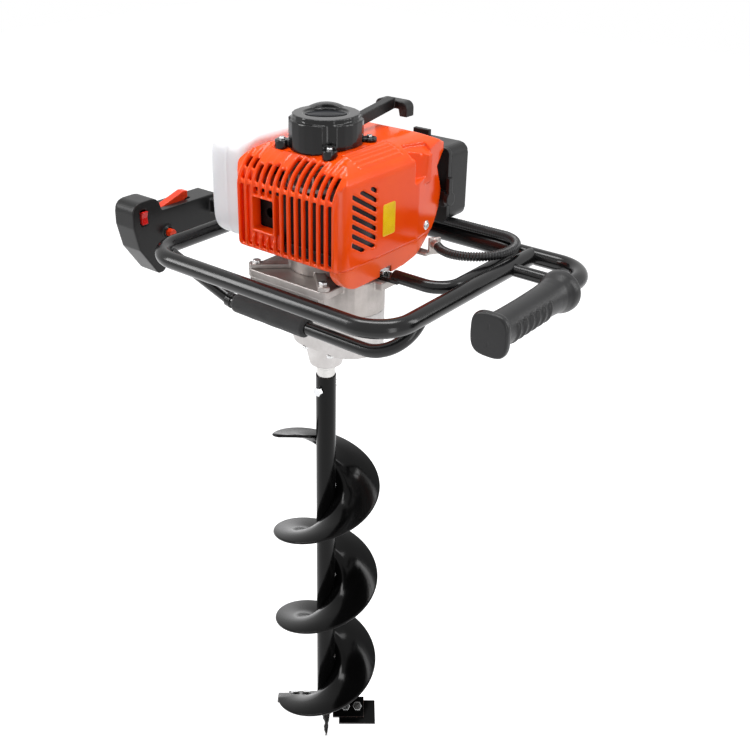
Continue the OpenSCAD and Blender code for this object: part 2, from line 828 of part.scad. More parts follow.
// Exhaust and intake
function muffler_pts(t) =
    rrect(muffler_x[0] + t, muffler_z[0] + t, muffler_x[1] - t, muffler_z[1] - t, 12 - t);
module muffler() {
    color("dimgray") difference() {
        along_y(muffler_pts(0), muffler_y[0], muffler_y[1]);
        along_y(muffler_pts(muffler_wall), muffler_y[0] + muffler_wall, muffler_y[1] - muffler_wall);
        rod_y(port_d, muffler_y[1] - 3, muffler_y[1] + 1, port_x, cyl_z);
        rod_y(outlet_d, muffler_y[0] - 1, muffler_y[0] + 3, outlet_x, outlet_z);
    }
}
module insulator() {
    color("black") difference() {
        box([port_x - 15, port_x + 15], [port_y, carb_y[0]], [cyl_z - 16, cyl_z + 16]);
        rod_y(port_d, port_y - 1, carb_y[0] + 1, port_x, cyl_z);
    }
}
module carburettor() {
    color("silver") difference() {
        union() {
            box([port_x - 18, port_x + 18], carb_y, [cyl_z - 20, cyl_z + 20]);
            rod_z(14, cyl_z + 19, cyl_z + 32, port_x - 6, carb_y[0] + 18);
            box([port_x + 2, port_x + 7], [carb_y[1] - 14, carb_y[1]], [bracket_z, cyl_z - 19]);
            box([port_x + 2, conduit_end[0] - 12], [carb_y[1] - 14, carb_y[1]], [bracket_z, bracket_z + 4]);
            translate(conduit_end) rotate([0, 0, 180 - hose_turn]) {
                rod_x(conduit_d + 1, -ferrule_l, 0, 0, 0);
                box([-ferrule_l - 4, -ferrule_l], [-8, 8], [bracket_z - conduit_end[2], 8]);
            }
        }
        rod_y(port_d, carb_y[0] - 1, carb_y[1] + 1, port_x, cyl_z);
    }
}
module filter_base() {
    color("black") difference() {
        union() {
            along_y(rrect(box_x[0], box_z[0], box_x[1], box_z[1], 8), base_y[0], base_y[1]);
            rod_y(intake_pipe, carb_y[1], base_y[0], port_x, cyl_z);
            box([box_x[1] - 8, box_x[1]], [base_y[0] - 6, base_y[1]], [cyl_z - 12, cyl_z + 8]);
        }
        rod_y(port_d, carb_y[1] - 1, base_y[1] + 1, port_x, cyl_z);
        rod_x(choke_pin, box_x[1] - 7, box_x[1] + 1, base_y[0], cyl_z - 2);
    }
}
module filter_element() {
    color("dimgray") box([box_x[0] + 6, box_x[1] - 6], [base_y[1], base_y[1] + 20],
        [box_z[0] + 8, box_z[1] - 8]);
}
module filter_cover() {
    color("black") difference() {
        along_y(rrect(box_x[0], box_z[0], box_x[1], box_z[1], 12), base_y[1], box_y[1]);
        along_y(rrect(box_x[0] + 3, box_z[0] + 3, box_x[1] - 3, box_z[1] - 3, 9),
            base_y[1] - 1, box_y[1] - 3);
        rod_z(knob_pin + 2 * run, box_z[1] - 4, box_z[1] + 1, knob_x, knob_y);
    }
}
module filter_knob() {
    color("black") {
        rod_z(knob_pin, box_z[1] - 8, box_z[1] + gap, knob_x, knob_y);
        rod_z(15, box_z[1] + gap, box_z[1] + 7, knob_x, knob_y);
        box([knob_x - 12, knob_x + 12], [knob_y - 3, knob_y + 3], [box_z[1] + gap, box_z[1] + 15]);
    }
}
module choke_lever() {
    y = base_y[0];
    z = cyl_z - 2;
    color("black") {
        rod_x(choke_pin - 2 * run, box_x[1] - 6, box_x[1] + gap, y, z);
        rod_x(18, box_x[1] + gap, box_x[1] + 6, y, z);
        box([box_x[1] + gap, box_x[1] + 5], [y - 4, y + 4], [z, z + 28]);
    }
}

// Shroud: the same outlines, drawn in by the wall, make the outside and the hollow
function shroud_plan(t, back) = concat(
    arc(-shroud_l + shroud_corner, -shroud_front + shroud_corner, shroud_corner - t, 180, 270),
    arc(shroud_r - shroud_corner, -shroud_front + shroud_corner, shroud_corner - t, 270, 360),
    [[shroud_r - t, chamfer_y], [shroud_r - chamfer_in - t, shroud_back], [shroud_r - chamfer_in - t, back],
        [-shroud_l + t, back]]);
function rear_arc(t, low) = let (a = asin((low - rear_z) / (rear_rz - t)))
    earc(rear_y, rear_z, rear_ry - t, rear_rz - t, a, 0);
function horn(low) = concat(
    rear_arc(0, low),
    [[notch_y, notch_z], [horn_y, z_edge - 4], [horn_y, z_edge + 8], [crown_back, z_top]]);
function shroud_side(t, low) = concat(
    [[-shroud_front + t, low]],
    t > 0 ? [[horn_y + 9, low], [horn_y + 9, z_edge + 2], [crown_back, z_top - t]] : horn(low),
    earc(front_cy, front_cz, front_cy + shroud_front - t, z_top - front_cz - t, 90, 180));
function shroud_face(t, low) = concat(
    [[shroud_r - t, low]],
    earc(side_cx, side_cz, shroud_r - side_cx - t, z_top - side_cz - t, 0, 90),
    earc(-side_cx, side_cz, shroud_l - side_cx - t, z_top - side_cz - t, 90, 180),
    [[-shroud_l + t, low]]);
module shroud_form(t, low, back) {
    intersection() {
        up(shroud_plan(t, back), low, z_top);
        along_x(shroud_side(t, low), -shroud_l, shroud_r);
        along_y(shroud_face(t, low), -shroud_front, back);
    }
}
module guard_slot(x) {
    in_window = x > window_x[0] && x < window_x[1];
    low = in_window
        ? [[z_shroud + 5, window_z[0] - 4], [window_z[1] + 4, cross_z]]
        : [[z_shroud + 5, cross_z]];
    for (z = concat(low, [[cross_z + cross_h, z_top]]))
        box([x - slot_w / 2, x + slot_w / 2], [-shroud_front - 1, slot_back], z);
}
module engine_shroud() {
    color("orangered") {
        difference() {
            shroud_form(0, z_shroud, horn_y);
            shroud_form(shroud_wall, z_shroud - 1, horn_y + 9);
            for (i = [-slots_left:slots_right]) guard_slot(slot_x + i * rib_pitch);
            box(window_x, [-shroud_front - 1, -shroud_front + 6], window_z);
            intersection() {
                box([shroud_r - 8, shroud_r + 1], louvre_y, louvre_z);
                for (i = [0:louvres - 1])
                    translate([shroud_r, louvre_y[0], louvre_z[0] + louvre_pitch * (i + 1.2)])
                    rotate([-louvre_slope, 0, 0]) box([-9, 2], [-10, 70], [-louvre_w / 2, louvre_w / 2]);
            }
            for (i = [0:4]) let (x = starter_w / 2 + 5 + i * 6)
                box([x, x + 3], [-30, 52], [z_edge - 6, z_top + 1]);
            rod_z(2 * reel_r, z_edge, z_top + 1);
            ears() rod_z(starter_screw + 0.4, z_edge, z_top + 1);
        }
        rod_x(boss_d, head_x, shroud_r - 1, boss_y, boss_z);
        difference() {
            rod_x(boss_d, post_x, 0, 0, cyl_z);
            rod_z(2 * case_r, z_engine, z_engine + crank_h);
        }
    }
}
function cowl_side(t, top) = concat(
    [[cowl_front + t, top]],
    arc(cowl_front + cowl_front_r, z_cowl + cowl_front_r, cowl_front_r - t, 192, 270, 8),
    [for (p = rear_arc(t, z_cowl + t)) if (p[1] < z_shroud - 1) p],
    [[rear_arc(t, z_shroud)[0][0], top]]);
module cowl_form(t, top) {
    intersection() {
        along_x(cowl_side(t, top), cowl_x - t, shroud_r);
        up(shroud_plan(1 + t, shroud_back), z_cowl - 1, top);
    }
}
module lower_cowl() {
    color("tomato") difference() {
        cowl_form(0, z_shroud);
        cowl_form(shroud_wall, z_shroud + 1);
        box([cowl_x - 1, shroud_r], [arm_y - tab_w / 2 - 2, arm_y + tab_w / 2 + 2],
            [z_cowl - 1, z_flange + 13]);
    }
}

// Recoil starter
module ears() {
    for (x = [-1, 1], y = [-1, 1]) translate([x * starter_ear, y * starter_ear, 0]) children();
}
function starter_plan(t) = let (w = starter_w / 2 - t) rrect(-w, -w, w, w, starter_corner - t / 2);
module starter_housing() {
    color("black") difference() {
        union() {
            up(starter_plan(0), z_edge + 6, z_top + starter_h - 6);
            up(starter_plan(4), z_edge + 6, z_top + starter_h);
            ears() rod_z(ear_lug, z_edge + 6, z_top + starter_foot);
            rod_y(nose_d, starter_w / 2 - 6, starter_w / 2 + nose_out, 0, pull_z);
            intersection() {
                translate([hump_at[0], hump_at[1], z_top + starter_h + hump_h - hump_r])
                    sphere(r = hump_r, $fn = fine);
                up(starter_plan(4), z_top + starter_h - 3, z_top + starter_h + hump_h + 1);
            }
        }
        shroud_form(0, z_shroud, shroud_back);
        difference() {
            rod_z(2 * reel_r + 4, z_edge, z_top + starter_h - 8);
            rod_z(post_d, reel_z - 4, z_top + starter_h);
        }
        rod_z(dial_d, z_top + starter_h - 2, z_top + starter_h + hump_h + 1);
        ears() rod_z(ear_well, z_top + starter_foot, z_top + starter_h + hump_h + 1);
        ears() rod_z(starter_screw + 0.4, z_edge, z_top + starter_foot + 1);
        rod_y(9, reel_r - 6, starter_w / 2 + nose_out + 1, 0, pull_z);
    }
}
module starter_reel() {
    color("ivory") difference() {
        union() {
            rod_z(2 * reel_r - 8, reel_z, reel_z + 12);
            for (z = [reel_z, reel_z + 9]) rod_z(2 * reel_r, z, z + 3);
        }
        rod_z(post_d + 2 * run, reel_z - 1, reel_z + 13);
    }
}
module starter_handle() {
    y0 = starter_w / 2 + nose_out + gap;
    y1 = y0 + handle_reach;
    z1 = pull_z + handle_rise;
    color("black") {
        along_x([[y0, pull_z - 7], [y0, pull_z + 7], [y1 + 2, z1 + 9], [y1 + 2, z1 - 5]], -6, 6);
        translate([0, 0, z1]) along_y(concat(
            arc(-16, -4, 9, 180, 90), arc(16, -4, 9, 90, 0),
            [[25, -14], [14, -14], [12, -5], [-12, -5], [-14, -14], [-25, -14]]
        ), y1, y1 + 16);
    }
}

// Fuel tank
module tank_form(t) {
    x = tank_x + [t, -t];
    y = tank_y + [t, -t];
    z = tank_z + [t, -t];
    intersection() {
        up(rrect(x[0], y[0], x[1], y[1], tank_round[0] - t, 8), z[0], z[1]);
        along_x(rrect(y[0], z[0], y[1], z[1], tank_round[1] - t, 8), x[0], x[1]);
        along_y(rrect(x[0], z[0], x[1], z[1], tank_round[2] - t, 8), y[0], y[1]);
    }
}
module fuel_tank() {
    color("whitesmoke") difference() {
        union() {
            tank_form(0);
            rod_x(2 * neck_r, tank_x[0] - filler_h, tank_x[0] + 4, cap_y, cap_z);
            box([tank_x[1] - 2, -shroud_l], [10, 40], [tank_z[0] + 30, tank_z[0] + 60]);
        }
        tank_form(tank_wall);
        rod_x(2 * neck_r - 6, tank_x[0] - filler_h - 1, tank_x[0] + 5, cap_y, cap_z);
    }
}
module fuel_cap() {
    x0 = tank_x[0] - 1.5;
    color("black") difference() {
        rod_x(2 * cap_r, x0 - cap_h, x0, cap_y, cap_z);
        rod_x(2 * neck_r + 0.8, tank_x[0] - filler_h - gasket_t - 2 * gap, x0 + 1, cap_y, cap_z);
        for (a = [0:15:359]) translate([x0 - cap_h / 2, cap_y, cap_z]) rotate([a, 0, 0])
            translate([-cap_h, cap_r - knurl, -1]) cube([2 * cap_h, 4, 2]);
    }
}
module cap_gasket() {
    x1 = tank_x[0] - filler_h - gap;
    color("dimgray") difference() {
        rod_x(2 * neck_r, x1 - gasket_t, x1, cap_y, cap_z);
        rod_x(2 * neck_r - 7, x1 - gasket_t - 1, x1 + 1, cap_y, cap_z);
    }
}

// Frame
module side_tubes(r) {
    for (x = [-loop_l, loop_r]) rod_y(2 * r, -loop_front, loop_back, x, z_frame);
}
module frame_loop() {
    color("black") difference() {
        translate([0, 0, z_frame]) {
            translate([-loop_l, -loop_front + bend_l, 0]) rotate([0, 0, 90])
                straight(tube_r, tube_in, loop_front + loop_back - bend_l);
            translate([bend_l - loop_l, bend_l - loop_front, 0]) elbow(tube_r, tube_in, bend_l, 180, 270);
            translate([loop_r - bend_r, bend_r - loop_front, 0]) elbow(tube_r, tube_in, bend_r, 270, 360);
            translate([bend_l - loop_l, -loop_front, 0])
                straight(tube_r, tube_in, loop_l + loop_r - bend_l - bend_r);
            translate([loop_r, -loop_front + bend_r, 0]) rotate([0, 0, 90])
                straight(tube_r, tube_in, loop_front + loop_back - bend_r);
        }
        rod_x(tube_d, -handle_l, handle_r, loop_back, z_frame);
    }
}
module rear_bar() {
    b = bend_handle;
    color("black") translate([0, 0, z_frame]) {
        translate([b - handle_l, loop_back, 0]) straight(tube_r, tube_in, handle_l + handle_r - 2 * b);
        translate([b - handle_l, loop_back - b, 0]) elbow(tube_r, tube_in, b, 90, 180);
        translate([handle_r - b, loop_back - b, 0]) elbow(tube_r, tube_in, b, 0, 90);
        for (end = [[-handle_l, handle_end], [handle_r, grip_y]]) translate([end[0], end[1], 0])
            rotate([0, 0, 90]) straight(tube_r, tube_in, loop_back - b - end[1]);
    }
}
module arm(side, reach, flange_end) {
    x = reach - tube_r - brace_r - arm_gap;
    from = flange_end + 6;
    mirror([side, 0, 0]) difference() {
        union() {
            translate([0, 0, z_frame]) {
                translate([from, arm_y, 0]) straight(brace_r, brace_in, x - bend_arm - from);
                translate([x - bend_arm, arm_y + bend_arm, 0]) elbow(brace_r, brace_in, bend_arm, 270, 360);
                translate([x, arm_y + bend_arm, 0]) rotate([0, 0, 90])
                    straight(brace_r, brace_in, loop_back - arm_y - bend_arm);
            }
            box([flange_end - 21, from + 10], [arm_y - tab_w / 2, arm_y + tab_w / 2],
                [z_flange, z_flange + tab_t]);
        }
        rod_z(arm_bolt + 2 * bore_clear, z_flange - 1, z_flange + 12, flange_end - 11, arm_y);
        rod_x(tube_d, 0, handle_r, loop_back, z_frame);
    }
}
module frame_braces() {
    color("black") {
        arm(0, loop_r, flange_x[1]);
        arm(1, loop_l, -flange_x[0]);
        difference() {
            for (end = [[loop_r, handle_r], [-handle_l, -loop_l]]) translate([end[0], brace_y, z_frame])
                straight(brace_r, brace_in, end[1] - end[0]);
            side_tubes(tube_r);
            for (x = [-handle_l, handle_r]) rod_y(tube_d, 0, loop_back, x, z_frame);
        }
    }
}
module lower_bar() {
    b = bend_bar;
    rise = bar_drop / sin(45);
    color("black") difference() {
        union() {
            translate([0, bar_y, bar_z]) rotate([45, 0, 0]) {
                translate([-kink_x, 0, 0]) straight(brace_r, brace_in, kink_x + loop_r - b);
                translate([loop_r - b, b, 0]) elbow(brace_r, brace_in, b, 270, 360);
                translate([loop_r, b, 0]) rotate([0, 0, 90]) straight(brace_r, brace_in, rise - b);
            }
            translate([-kink_x, bar_y, bar_z]) {
                rotate([0, kink / 2, 0]) rod_x(2 * brace_r + 3, -4, 4, 0, 0);
                rotate([0, kink - 180, 0]) straight(brace_r, brace_in, (loop_l - kink_x) / cos(kink));
            }
        }
        side_tubes(tube_r);
        for (a = [join, join + 12, join + 24])
            translate([bend_l - loop_l - bend_l * cos(a), bend_l - loop_front - bend_l * sin(a), z_frame])
            rotate([0, 0, a - 90]) rod_x(2 * tube_r + 0.6, -tube_d, tube_d, 0, 0);
    }
}
module foam_sleeve() {
    color("dimgray") translate([-foam_len / 2, bar_y, bar_z]) rotate([0, 90, 0]) rotate_extrude($fn = fine)
        polygon(concat(
            [[brace_r, 0]], arc(foam_r - 4, 4, 4, -90, 0, 4),
            arc(foam_r - 4, foam_len - 4, 4, 0, 90, 4), [[brace_r, foam_len]]
        ));
}

// Handles
module plain_grip() {
    r = grip_d / 2;
    color("dimgray") translate([handle_r, grip_y, z_frame]) {
        rotate([-90, 0, 0]) difference() {
            rotate_extrude($fn = fine) polygon(concat([[0, -10], [r + 6, -10], [r + 6, -3]],
                arc(r + 4, 6, 5, 270, 200, 3), [[r - 1, 30]],
                [for (i = [0:5]) each [[r - 1, 36 + i * 13], [r - 3, 38 + i * 13], [r - 3, 42 + i * 13],
                    [r - 1, 44 + i * 13]]],
                [[r, grip_len - 30], [r + 2, grip_len - 14], [r + 7, grip_len - 6],
                    [r + 7, grip_len], [0, grip_len]]));
            cylinder(d = tube_d, h = grip_len + 1, $fn = fine);
        }
    }
}
module hand_slot(y, z) {
    box([-handle_l - slot_half, -handle_l + slot_half], y, [z_frame + z[0], z_frame + z[1]]);
}
module throttle_half(side) {
    s = side > 0 ? [0, throttle_t / 2] : [-throttle_t / 2, 0];
    face = -handle_l + throttle_t / 2;
    color("dimgray") difference() {
        union() {
            translate([0, 0, z_frame]) along_x(hand_pts, s[0] - handle_l, s[1] - handle_l);
            if (side > 0) {
                rod_x(16, face - 1, face + 5, button_y, z_frame + button_z);
                box([face - 2, gland_x + 9], [gland_y - 18, gland_y],
                    [min(gland_z, z_frame + 6) - 9, max(gland_z, z_frame + 6) + 9]);
            }
        }
        rod_y(tube_d, handle_end, 60, -handle_l, z_frame);
        hand_slot([-45, 24], [-34, -tube_r - 0.4]);
        hand_slot([-46, 14], [tube_r + 0.4, 30]);
        rod_x(6 + 2 * run, -handle_l - 12, -handle_l + 12, trigger_y, z_frame + trigger_z);
        rod_x(4 + 2 * run, -handle_l - 12, -handle_l + 12, lockout_y, z_frame + lockout_z);
        if (side > 0) {
            rod_x(button_d + 0.4, face - 8, face + 6, button_y, z_frame + button_z);
            translate([0, 0, z_frame + switch_z])
                box([face - 9, face + 1], [switch_y - 5.2, switch_y + 5.2], [-11, 11]);
            rod_y(3 + 2 * run, switch_y - 8, switch_y + 8, face - 3, z_frame + switch_z);
        }
    }
}
module throttle_half_left() {
    throttle_half(-1);
}
module throttle_half_right() {
    throttle_half(1);
}
module throttle_trigger() {
    color("dimgray") translate([0, 0, z_frame]) {
        along_x([
            [18, -13.5], [4, -13.5], [-37, -26], [-40, -35], [-36, -38], [-10, -32], [12, -22], [18, -20]
        ], -handle_l - 5, 5 - handle_l);
        rod_x(6, -handle_l - 11, -handle_l + 11, trigger_y, trigger_z);
    }
}
module lockout_lever() {
    color("orangered") translate([0, 0, z_frame]) {
        along_x([[-42, 15], [-43, 20], [-38, 22], [2, 34], [9, 33], [9, 24], [0, 20], [-34, 15]],
            -handle_l - 6, 6 - handle_l);
        rod_x(4, -handle_l - 11, -handle_l + 11, lockout_y, lockout_z);
    }
}
module lock_button() {
    face = -handle_l + throttle_t / 2;
    x0 = face - 8 + button_travel + gap;
    color("orange") rod_x(button_d, x0, face + 9 + button_travel, button_y, z_frame + button_z);
}
module stop_switch() {
    face = -handle_l + throttle_t / 2;
    color("red") translate([0, 0, z_frame + switch_z]) {
        translate([face, 0, 0]) along_y([
            [-6, -6], [1, -9], [3, -9], [1.6, 0], [4, 9], [1, 9], [-6, 6]
        ], switch_y - 4.8, switch_y + 4.8);
        rod_y(3, switch_y - 7.5, switch_y + 7.5, face - 3, 0);
    }
}

// Conduit: a smooth curve through the route, swept as a ribbed outside and a plain bore
function route(u) = let (n = len(conduit_pts) - 1, i = min(floor(u * n), n - 1), t = u * n - i,
    p1 = conduit_pts[i], p2 = conduit_pts[i + 1],
    p0 = i > 0 ? conduit_pts[i - 1] : 2 * p1 - p2, p3 = i < n - 1 ? conduit_pts[i + 2] : 2 * p2 - p1)
    0.5 * (2 * p1 + t * (p2 - p0) + t * t * (2 * p0 - 5 * p1 + 4 * p2 - p3)
        + t * t * t * (3 * p1 - p0 - 3 * p2 + p3));
function unit(v) = v / norm(v);
function heading(u) = unit(route(min(u + 0.001, 1)) - route(max(u - 0.001, 0)));
function hoop(u, r) = let (t = heading(u), s = unit(cross(t, [0, 0, 1])), w = cross(s, t))
    [for (j = [0:7]) route(u) + r * (cos(j * 45) * s + sin(j * 45) * w)];
module conduit() {
    n = 2 * conduit_ribs;
    m = 70;
    outer = [for (k = [0:n]) each hoop(k / n, conduit_d / 2 - (k % 2) * 1.1)];
    inner = [for (k = [0:m]) each hoop(k / m, conduit_bore / 2)];
    base = len(outer);
    skin = [for (k = [0:n - 1], j = [0:7]) let (a = 8 * k + j, b = 8 * k + (j + 1) % 8)
        each [[a, b + 8, b], [a, a + 8, b + 8]]];
    lining = [for (k = [0:m - 1], j = [0:7]) let (a = base + 8 * k + j, b = base + 8 * k + (j + 1) % 8)
        each [[a, b, b + 8], [a, b + 8, a + 8]]];
    caps = [for (j = [0:7]) let (k = (j + 1) % 8, a = 8 * n, b = base + 8 * m)
        each [[j, k, base + k], [j, base + k, base + j], [a + k, a + j, b + j], [a + k, b + j, b + k]]];
    color("dimgray") polyhedron(points = concat(outer, inner), faces = concat(skin, lining, caps));
}

pilot_point();
stem_tube();
auger_flight();
cutting_blades();
bit_bolts();
output_shaft();
output_gear();
layshaft();
input_pinion();
clutch_drum();
gear_case_lower();
gear_case_middle();
gear_case_upper();
ball_bearings();
output_seal();
fasteners();
clutch_bell();
clutch_shoe_front();
clutch_shoe_back();
clutch_hub();
crankcase_lower();
crankcase_upper();
crankshaft();
connecting_rod();
piston();
wrist_pin();
cylinder_head();
spark_plug();
plug_boot();
flywheel();
ignition_coil();
muffler();
insulator();
carburettor();
filter_base();
filter_element();
filter_cover();
filter_knob();
choke_lever();
engine_shroud();
lower_cowl();
starter_housing();
starter_reel();
starter_handle();
fuel_tank();
fuel_cap();
cap_gasket();
frame_loop();
rear_bar();
frame_braces();
lower_bar();
foam_sleeve();
plain_grip();
throttle_half_left();
throttle_half_right();
throttle_trigger();
lockout_lever();
lock_button();
stop_switch();
conduit();
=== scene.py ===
import json
import math
import bmesh
import bpy
from mathutils import Matrix, Vector, noise


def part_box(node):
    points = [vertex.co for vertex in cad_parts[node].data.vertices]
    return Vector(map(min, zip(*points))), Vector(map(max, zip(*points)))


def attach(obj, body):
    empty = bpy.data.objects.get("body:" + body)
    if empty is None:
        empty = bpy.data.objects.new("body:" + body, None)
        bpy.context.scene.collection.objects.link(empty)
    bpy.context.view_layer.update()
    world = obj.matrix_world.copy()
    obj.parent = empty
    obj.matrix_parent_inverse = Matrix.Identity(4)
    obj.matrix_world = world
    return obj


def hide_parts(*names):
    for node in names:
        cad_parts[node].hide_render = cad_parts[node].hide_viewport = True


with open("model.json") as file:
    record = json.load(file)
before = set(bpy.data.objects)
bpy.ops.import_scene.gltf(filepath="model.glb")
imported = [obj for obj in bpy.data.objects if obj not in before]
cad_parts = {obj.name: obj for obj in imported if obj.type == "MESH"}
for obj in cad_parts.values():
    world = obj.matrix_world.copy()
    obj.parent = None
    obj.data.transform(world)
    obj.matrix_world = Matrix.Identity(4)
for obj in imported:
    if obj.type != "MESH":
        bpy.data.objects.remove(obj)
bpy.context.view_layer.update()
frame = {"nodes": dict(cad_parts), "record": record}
nodes = frame["nodes"]
scene = bpy.context.scene
scene.view_settings.view_transform = "Standard"

# Camera, at the photograph's angle
PHOTO = 750.0                           # width and height of the photograph in pixels
FOCAL = 1034.0                          # focal length in pixels
AXIS_PX = (326.0, 305.0)                # pixel on the camera's axis
RIGHT = Vector((0.7627, 0.6468, 0.0))   # right and up of the picture
ABOVE = Vector((-0.2662, 0.3139, 0.9114))
BACK = RIGHT.cross(ABOVE).normalized()
TARGET, RANGE = Vector((0.0, 0.0, 0.743)), 1.324
SENSOR = 36.0
cam_data = bpy.data.cameras.new("camera")
cam_data.sensor_width = SENSOR
cam_data.lens = SENSOR * FOCAL / PHOTO
cam_data.shift_x = (PHOTO / 2 - AXIS_PX[0]) / PHOTO
cam_data.shift_y = -(PHOTO / 2 - AXIS_PX[1]) / PHOTO
cam = bpy.data.objects.new("camera", cam_data)
scene.collection.objects.link(cam)
turn = Matrix((RIGHT, ABOVE, BACK)).transposed().to_4x4()
cam.matrix_world = Matrix.Translation(TARGET + BACK * RANGE) @ turn
scene.camera = cam


# Shader helpers
class Tree:
    """A material's nodes, from texture to surface"""

    def __init__(self, name):
        self.mat = bpy.data.materials.new(name)
        self.mat.use_nodes = True
        self.nt = self.mat.node_tree
        self.nt.nodes.clear()
        self.out = self.nt.nodes.new("ShaderNodeOutputMaterial")
        self.bsdf = self.nt.nodes.new("ShaderNodeBsdfPrincipled")
        self.link(self.bsdf.outputs[0], self.out.inputs[0])
        self.co = self.nt.nodes.new("ShaderNodeTexCoord").outputs["Object"]

    def link(self, a, b):
        self.nt.links.new(a, b)

    def node(self, kind, **inputs):
        n = self.nt.nodes.new(kind)
        for key, value in inputs.items():
            socket = n.inputs[key.replace("_", " ")]
            if isinstance(value, bpy.types.NodeSocket):
                self.link(value, socket)
            else:
                socket.default_value = value
        return n

    def stretch(self, scale):
        m = self.node("ShaderNodeMapping", Vector=self.co)
        m.inputs["Scale"].default_value = scale
        return m.outputs[0]

    def noise(self, scale, detail=3.0, rough=0.55, distort=0.0, vector=None):
        n = self.node("ShaderNodeTexNoise", Scale=scale, Detail=detail, Roughness=rough, Distortion=distort)
        self.link(vector or self.co, n.inputs["Vector"])
        return n.outputs[0]

    def cells(self, scale, feature="F1", vector=None):
        n = self.node("ShaderNodeTexVoronoi", Scale=scale)
        n.feature = feature
        self.link(vector or self.co, n.inputs["Vector"])
        return n.outputs["Distance"]

    def fit(self, value, a, b, c, d):
        n = self.node("ShaderNodeMapRange", Value=value)
        for key, v in zip(("From Min", "From Max", "To Min", "To Max"), (a, b, c, d)):
            n.inputs[key].default_value = v
        return n.outputs[0]

    def math(self, op, a, b):
        n = self.nt.nodes.new("ShaderNodeMath")
        n.operation = op
        for i, v in enumerate((a, b)):
            if isinstance(v, bpy.types.NodeSocket):
                self.link(v, n.inputs[i])
            else:
                n.inputs[i].default_value = v
        return n.outputs[0]

    def mix(self, fac, a, b, mode="MIX"):
        n = self.nt.nodes.new("ShaderNodeMix")
        n.data_type = "RGBA"
        n.blend_type = mode
        for i, v in ((0, fac), (6, a), (7, b)):
            if isinstance(v, bpy.types.NodeSocket):
                self.link(v, n.inputs[i])
            else:
                n.inputs[i].default_value = v if i == 0 else (*v, 1.0)
        return n.outputs[2]

    def edges(self, radius):
        """1 along sharp edges and 0 on flats, with the rounded normal"""
        bev = self.nt.nodes.new("ShaderNodeBevel")
        bev.samples = 6
        bev.inputs["Radius"].default_value = radius
        geo = self.nt.nodes.new("ShaderNodeNewGeometry")
        dot = self.nt.nodes.new("ShaderNodeVectorMath")
        dot.operation = "DOT_PRODUCT"
        self.link(bev.outputs[0], dot.inputs[0])
        self.link(geo.outputs["Normal"], dot.inputs[1])
        return self.fit(dot.outputs["Value"], 0.995, 0.86, 0.0, 1.0), bev.outputs[0]

    def bump(self, height, strength, distance, normal=None):
        n = self.node("ShaderNodeBump", Height=height, Strength=strength, Distance=distance)
        if normal is not None:
            self.link(normal, n.inputs["Normal"])
        return n.outputs[0]

    def set(self, **inputs):
        for key, value in inputs.items():
            socket = self.bsdf.inputs[key.replace("_", " ")]
            if isinstance(value, bpy.types.NodeSocket):
                self.link(value, socket)
            else:
                socket.default_value = value


def surface(name, light, dark, rough, patch, grain, grain_h, grain_s, metal=0.0, edge=None, edge_r=0.0012,
            round_r=0.0012, streak=None, **more):
    """A finish with drifting colour, patchy roughness, fine grain and a patchy colour on sharp edges

    light and dark are the drift's colours, patch and grain the scales of drift and grain, grain_h and
    grain_s the grain's height and strength, edge the colour laid on edges: worn paint and metal on the
    bit, frame and metal finishes, a painted highlight on the orange and red plastics, and a paler grey on
    the black plastic; streak the scale of brush lines
    """
    t = Tree(name)
    drift = t.noise(patch, 4.0, 0.6)
    fine = t.noise(grain, 3.0, 0.6)
    colour = t.mix(t.fit(drift, 0.3, 0.7, 0.0, 1.0), dark, light)
    colour = t.mix(t.fit(fine, 0.35, 0.65, 0.0, 0.25), colour, dark)
    level = t.math("ADD", t.math("MULTIPLY", drift, 0.6), t.math("MULTIPLY", fine, 0.4))
    shine = t.fit(level, 0.3, 0.7, rough[0], rough[1])
    height = fine
    if streak:
        lines = t.noise(1.0, 4.0, 0.7, vector=t.stretch(streak))
        shine = t.math("ADD", shine, t.fit(lines, 0.3, 0.7, -0.07, 0.07))
        height = t.math("ADD", t.math("MULTIPLY", fine, 0.4), t.math("MULTIPLY", lines, 0.6))
    mask, normal = t.edges(max(edge_r, round_r))
    if edge:
        # Patchy edge colour: wear on paint and metal, and a painted highlight on the orange and red
        # plastics
        edge_wear_and_painted_highlight = t.math("MULTIPLY", mask, t.fit(t.noise(140.0, 5.0, 0.7), 0.42, 0.62, 0.0, 1.0))
        colour = t.mix(edge_wear_and_painted_highlight, colour, edge)
    t.set(Base_Color=colour, Roughness=shine, Metallic=metal)
    t.set(Normal=t.bump(height, grain_s, grain_h, normal))
    t.set(**more)
    return t.mat


def srgb(r, g, b):
    """Linear colour of an sRGB one from 0 to 255"""
    return tuple(((c / 255 + 0.055) / 1.055) ** 2.4 if c > 10 else c / 255 / 12.92 for c in (r, g, b))


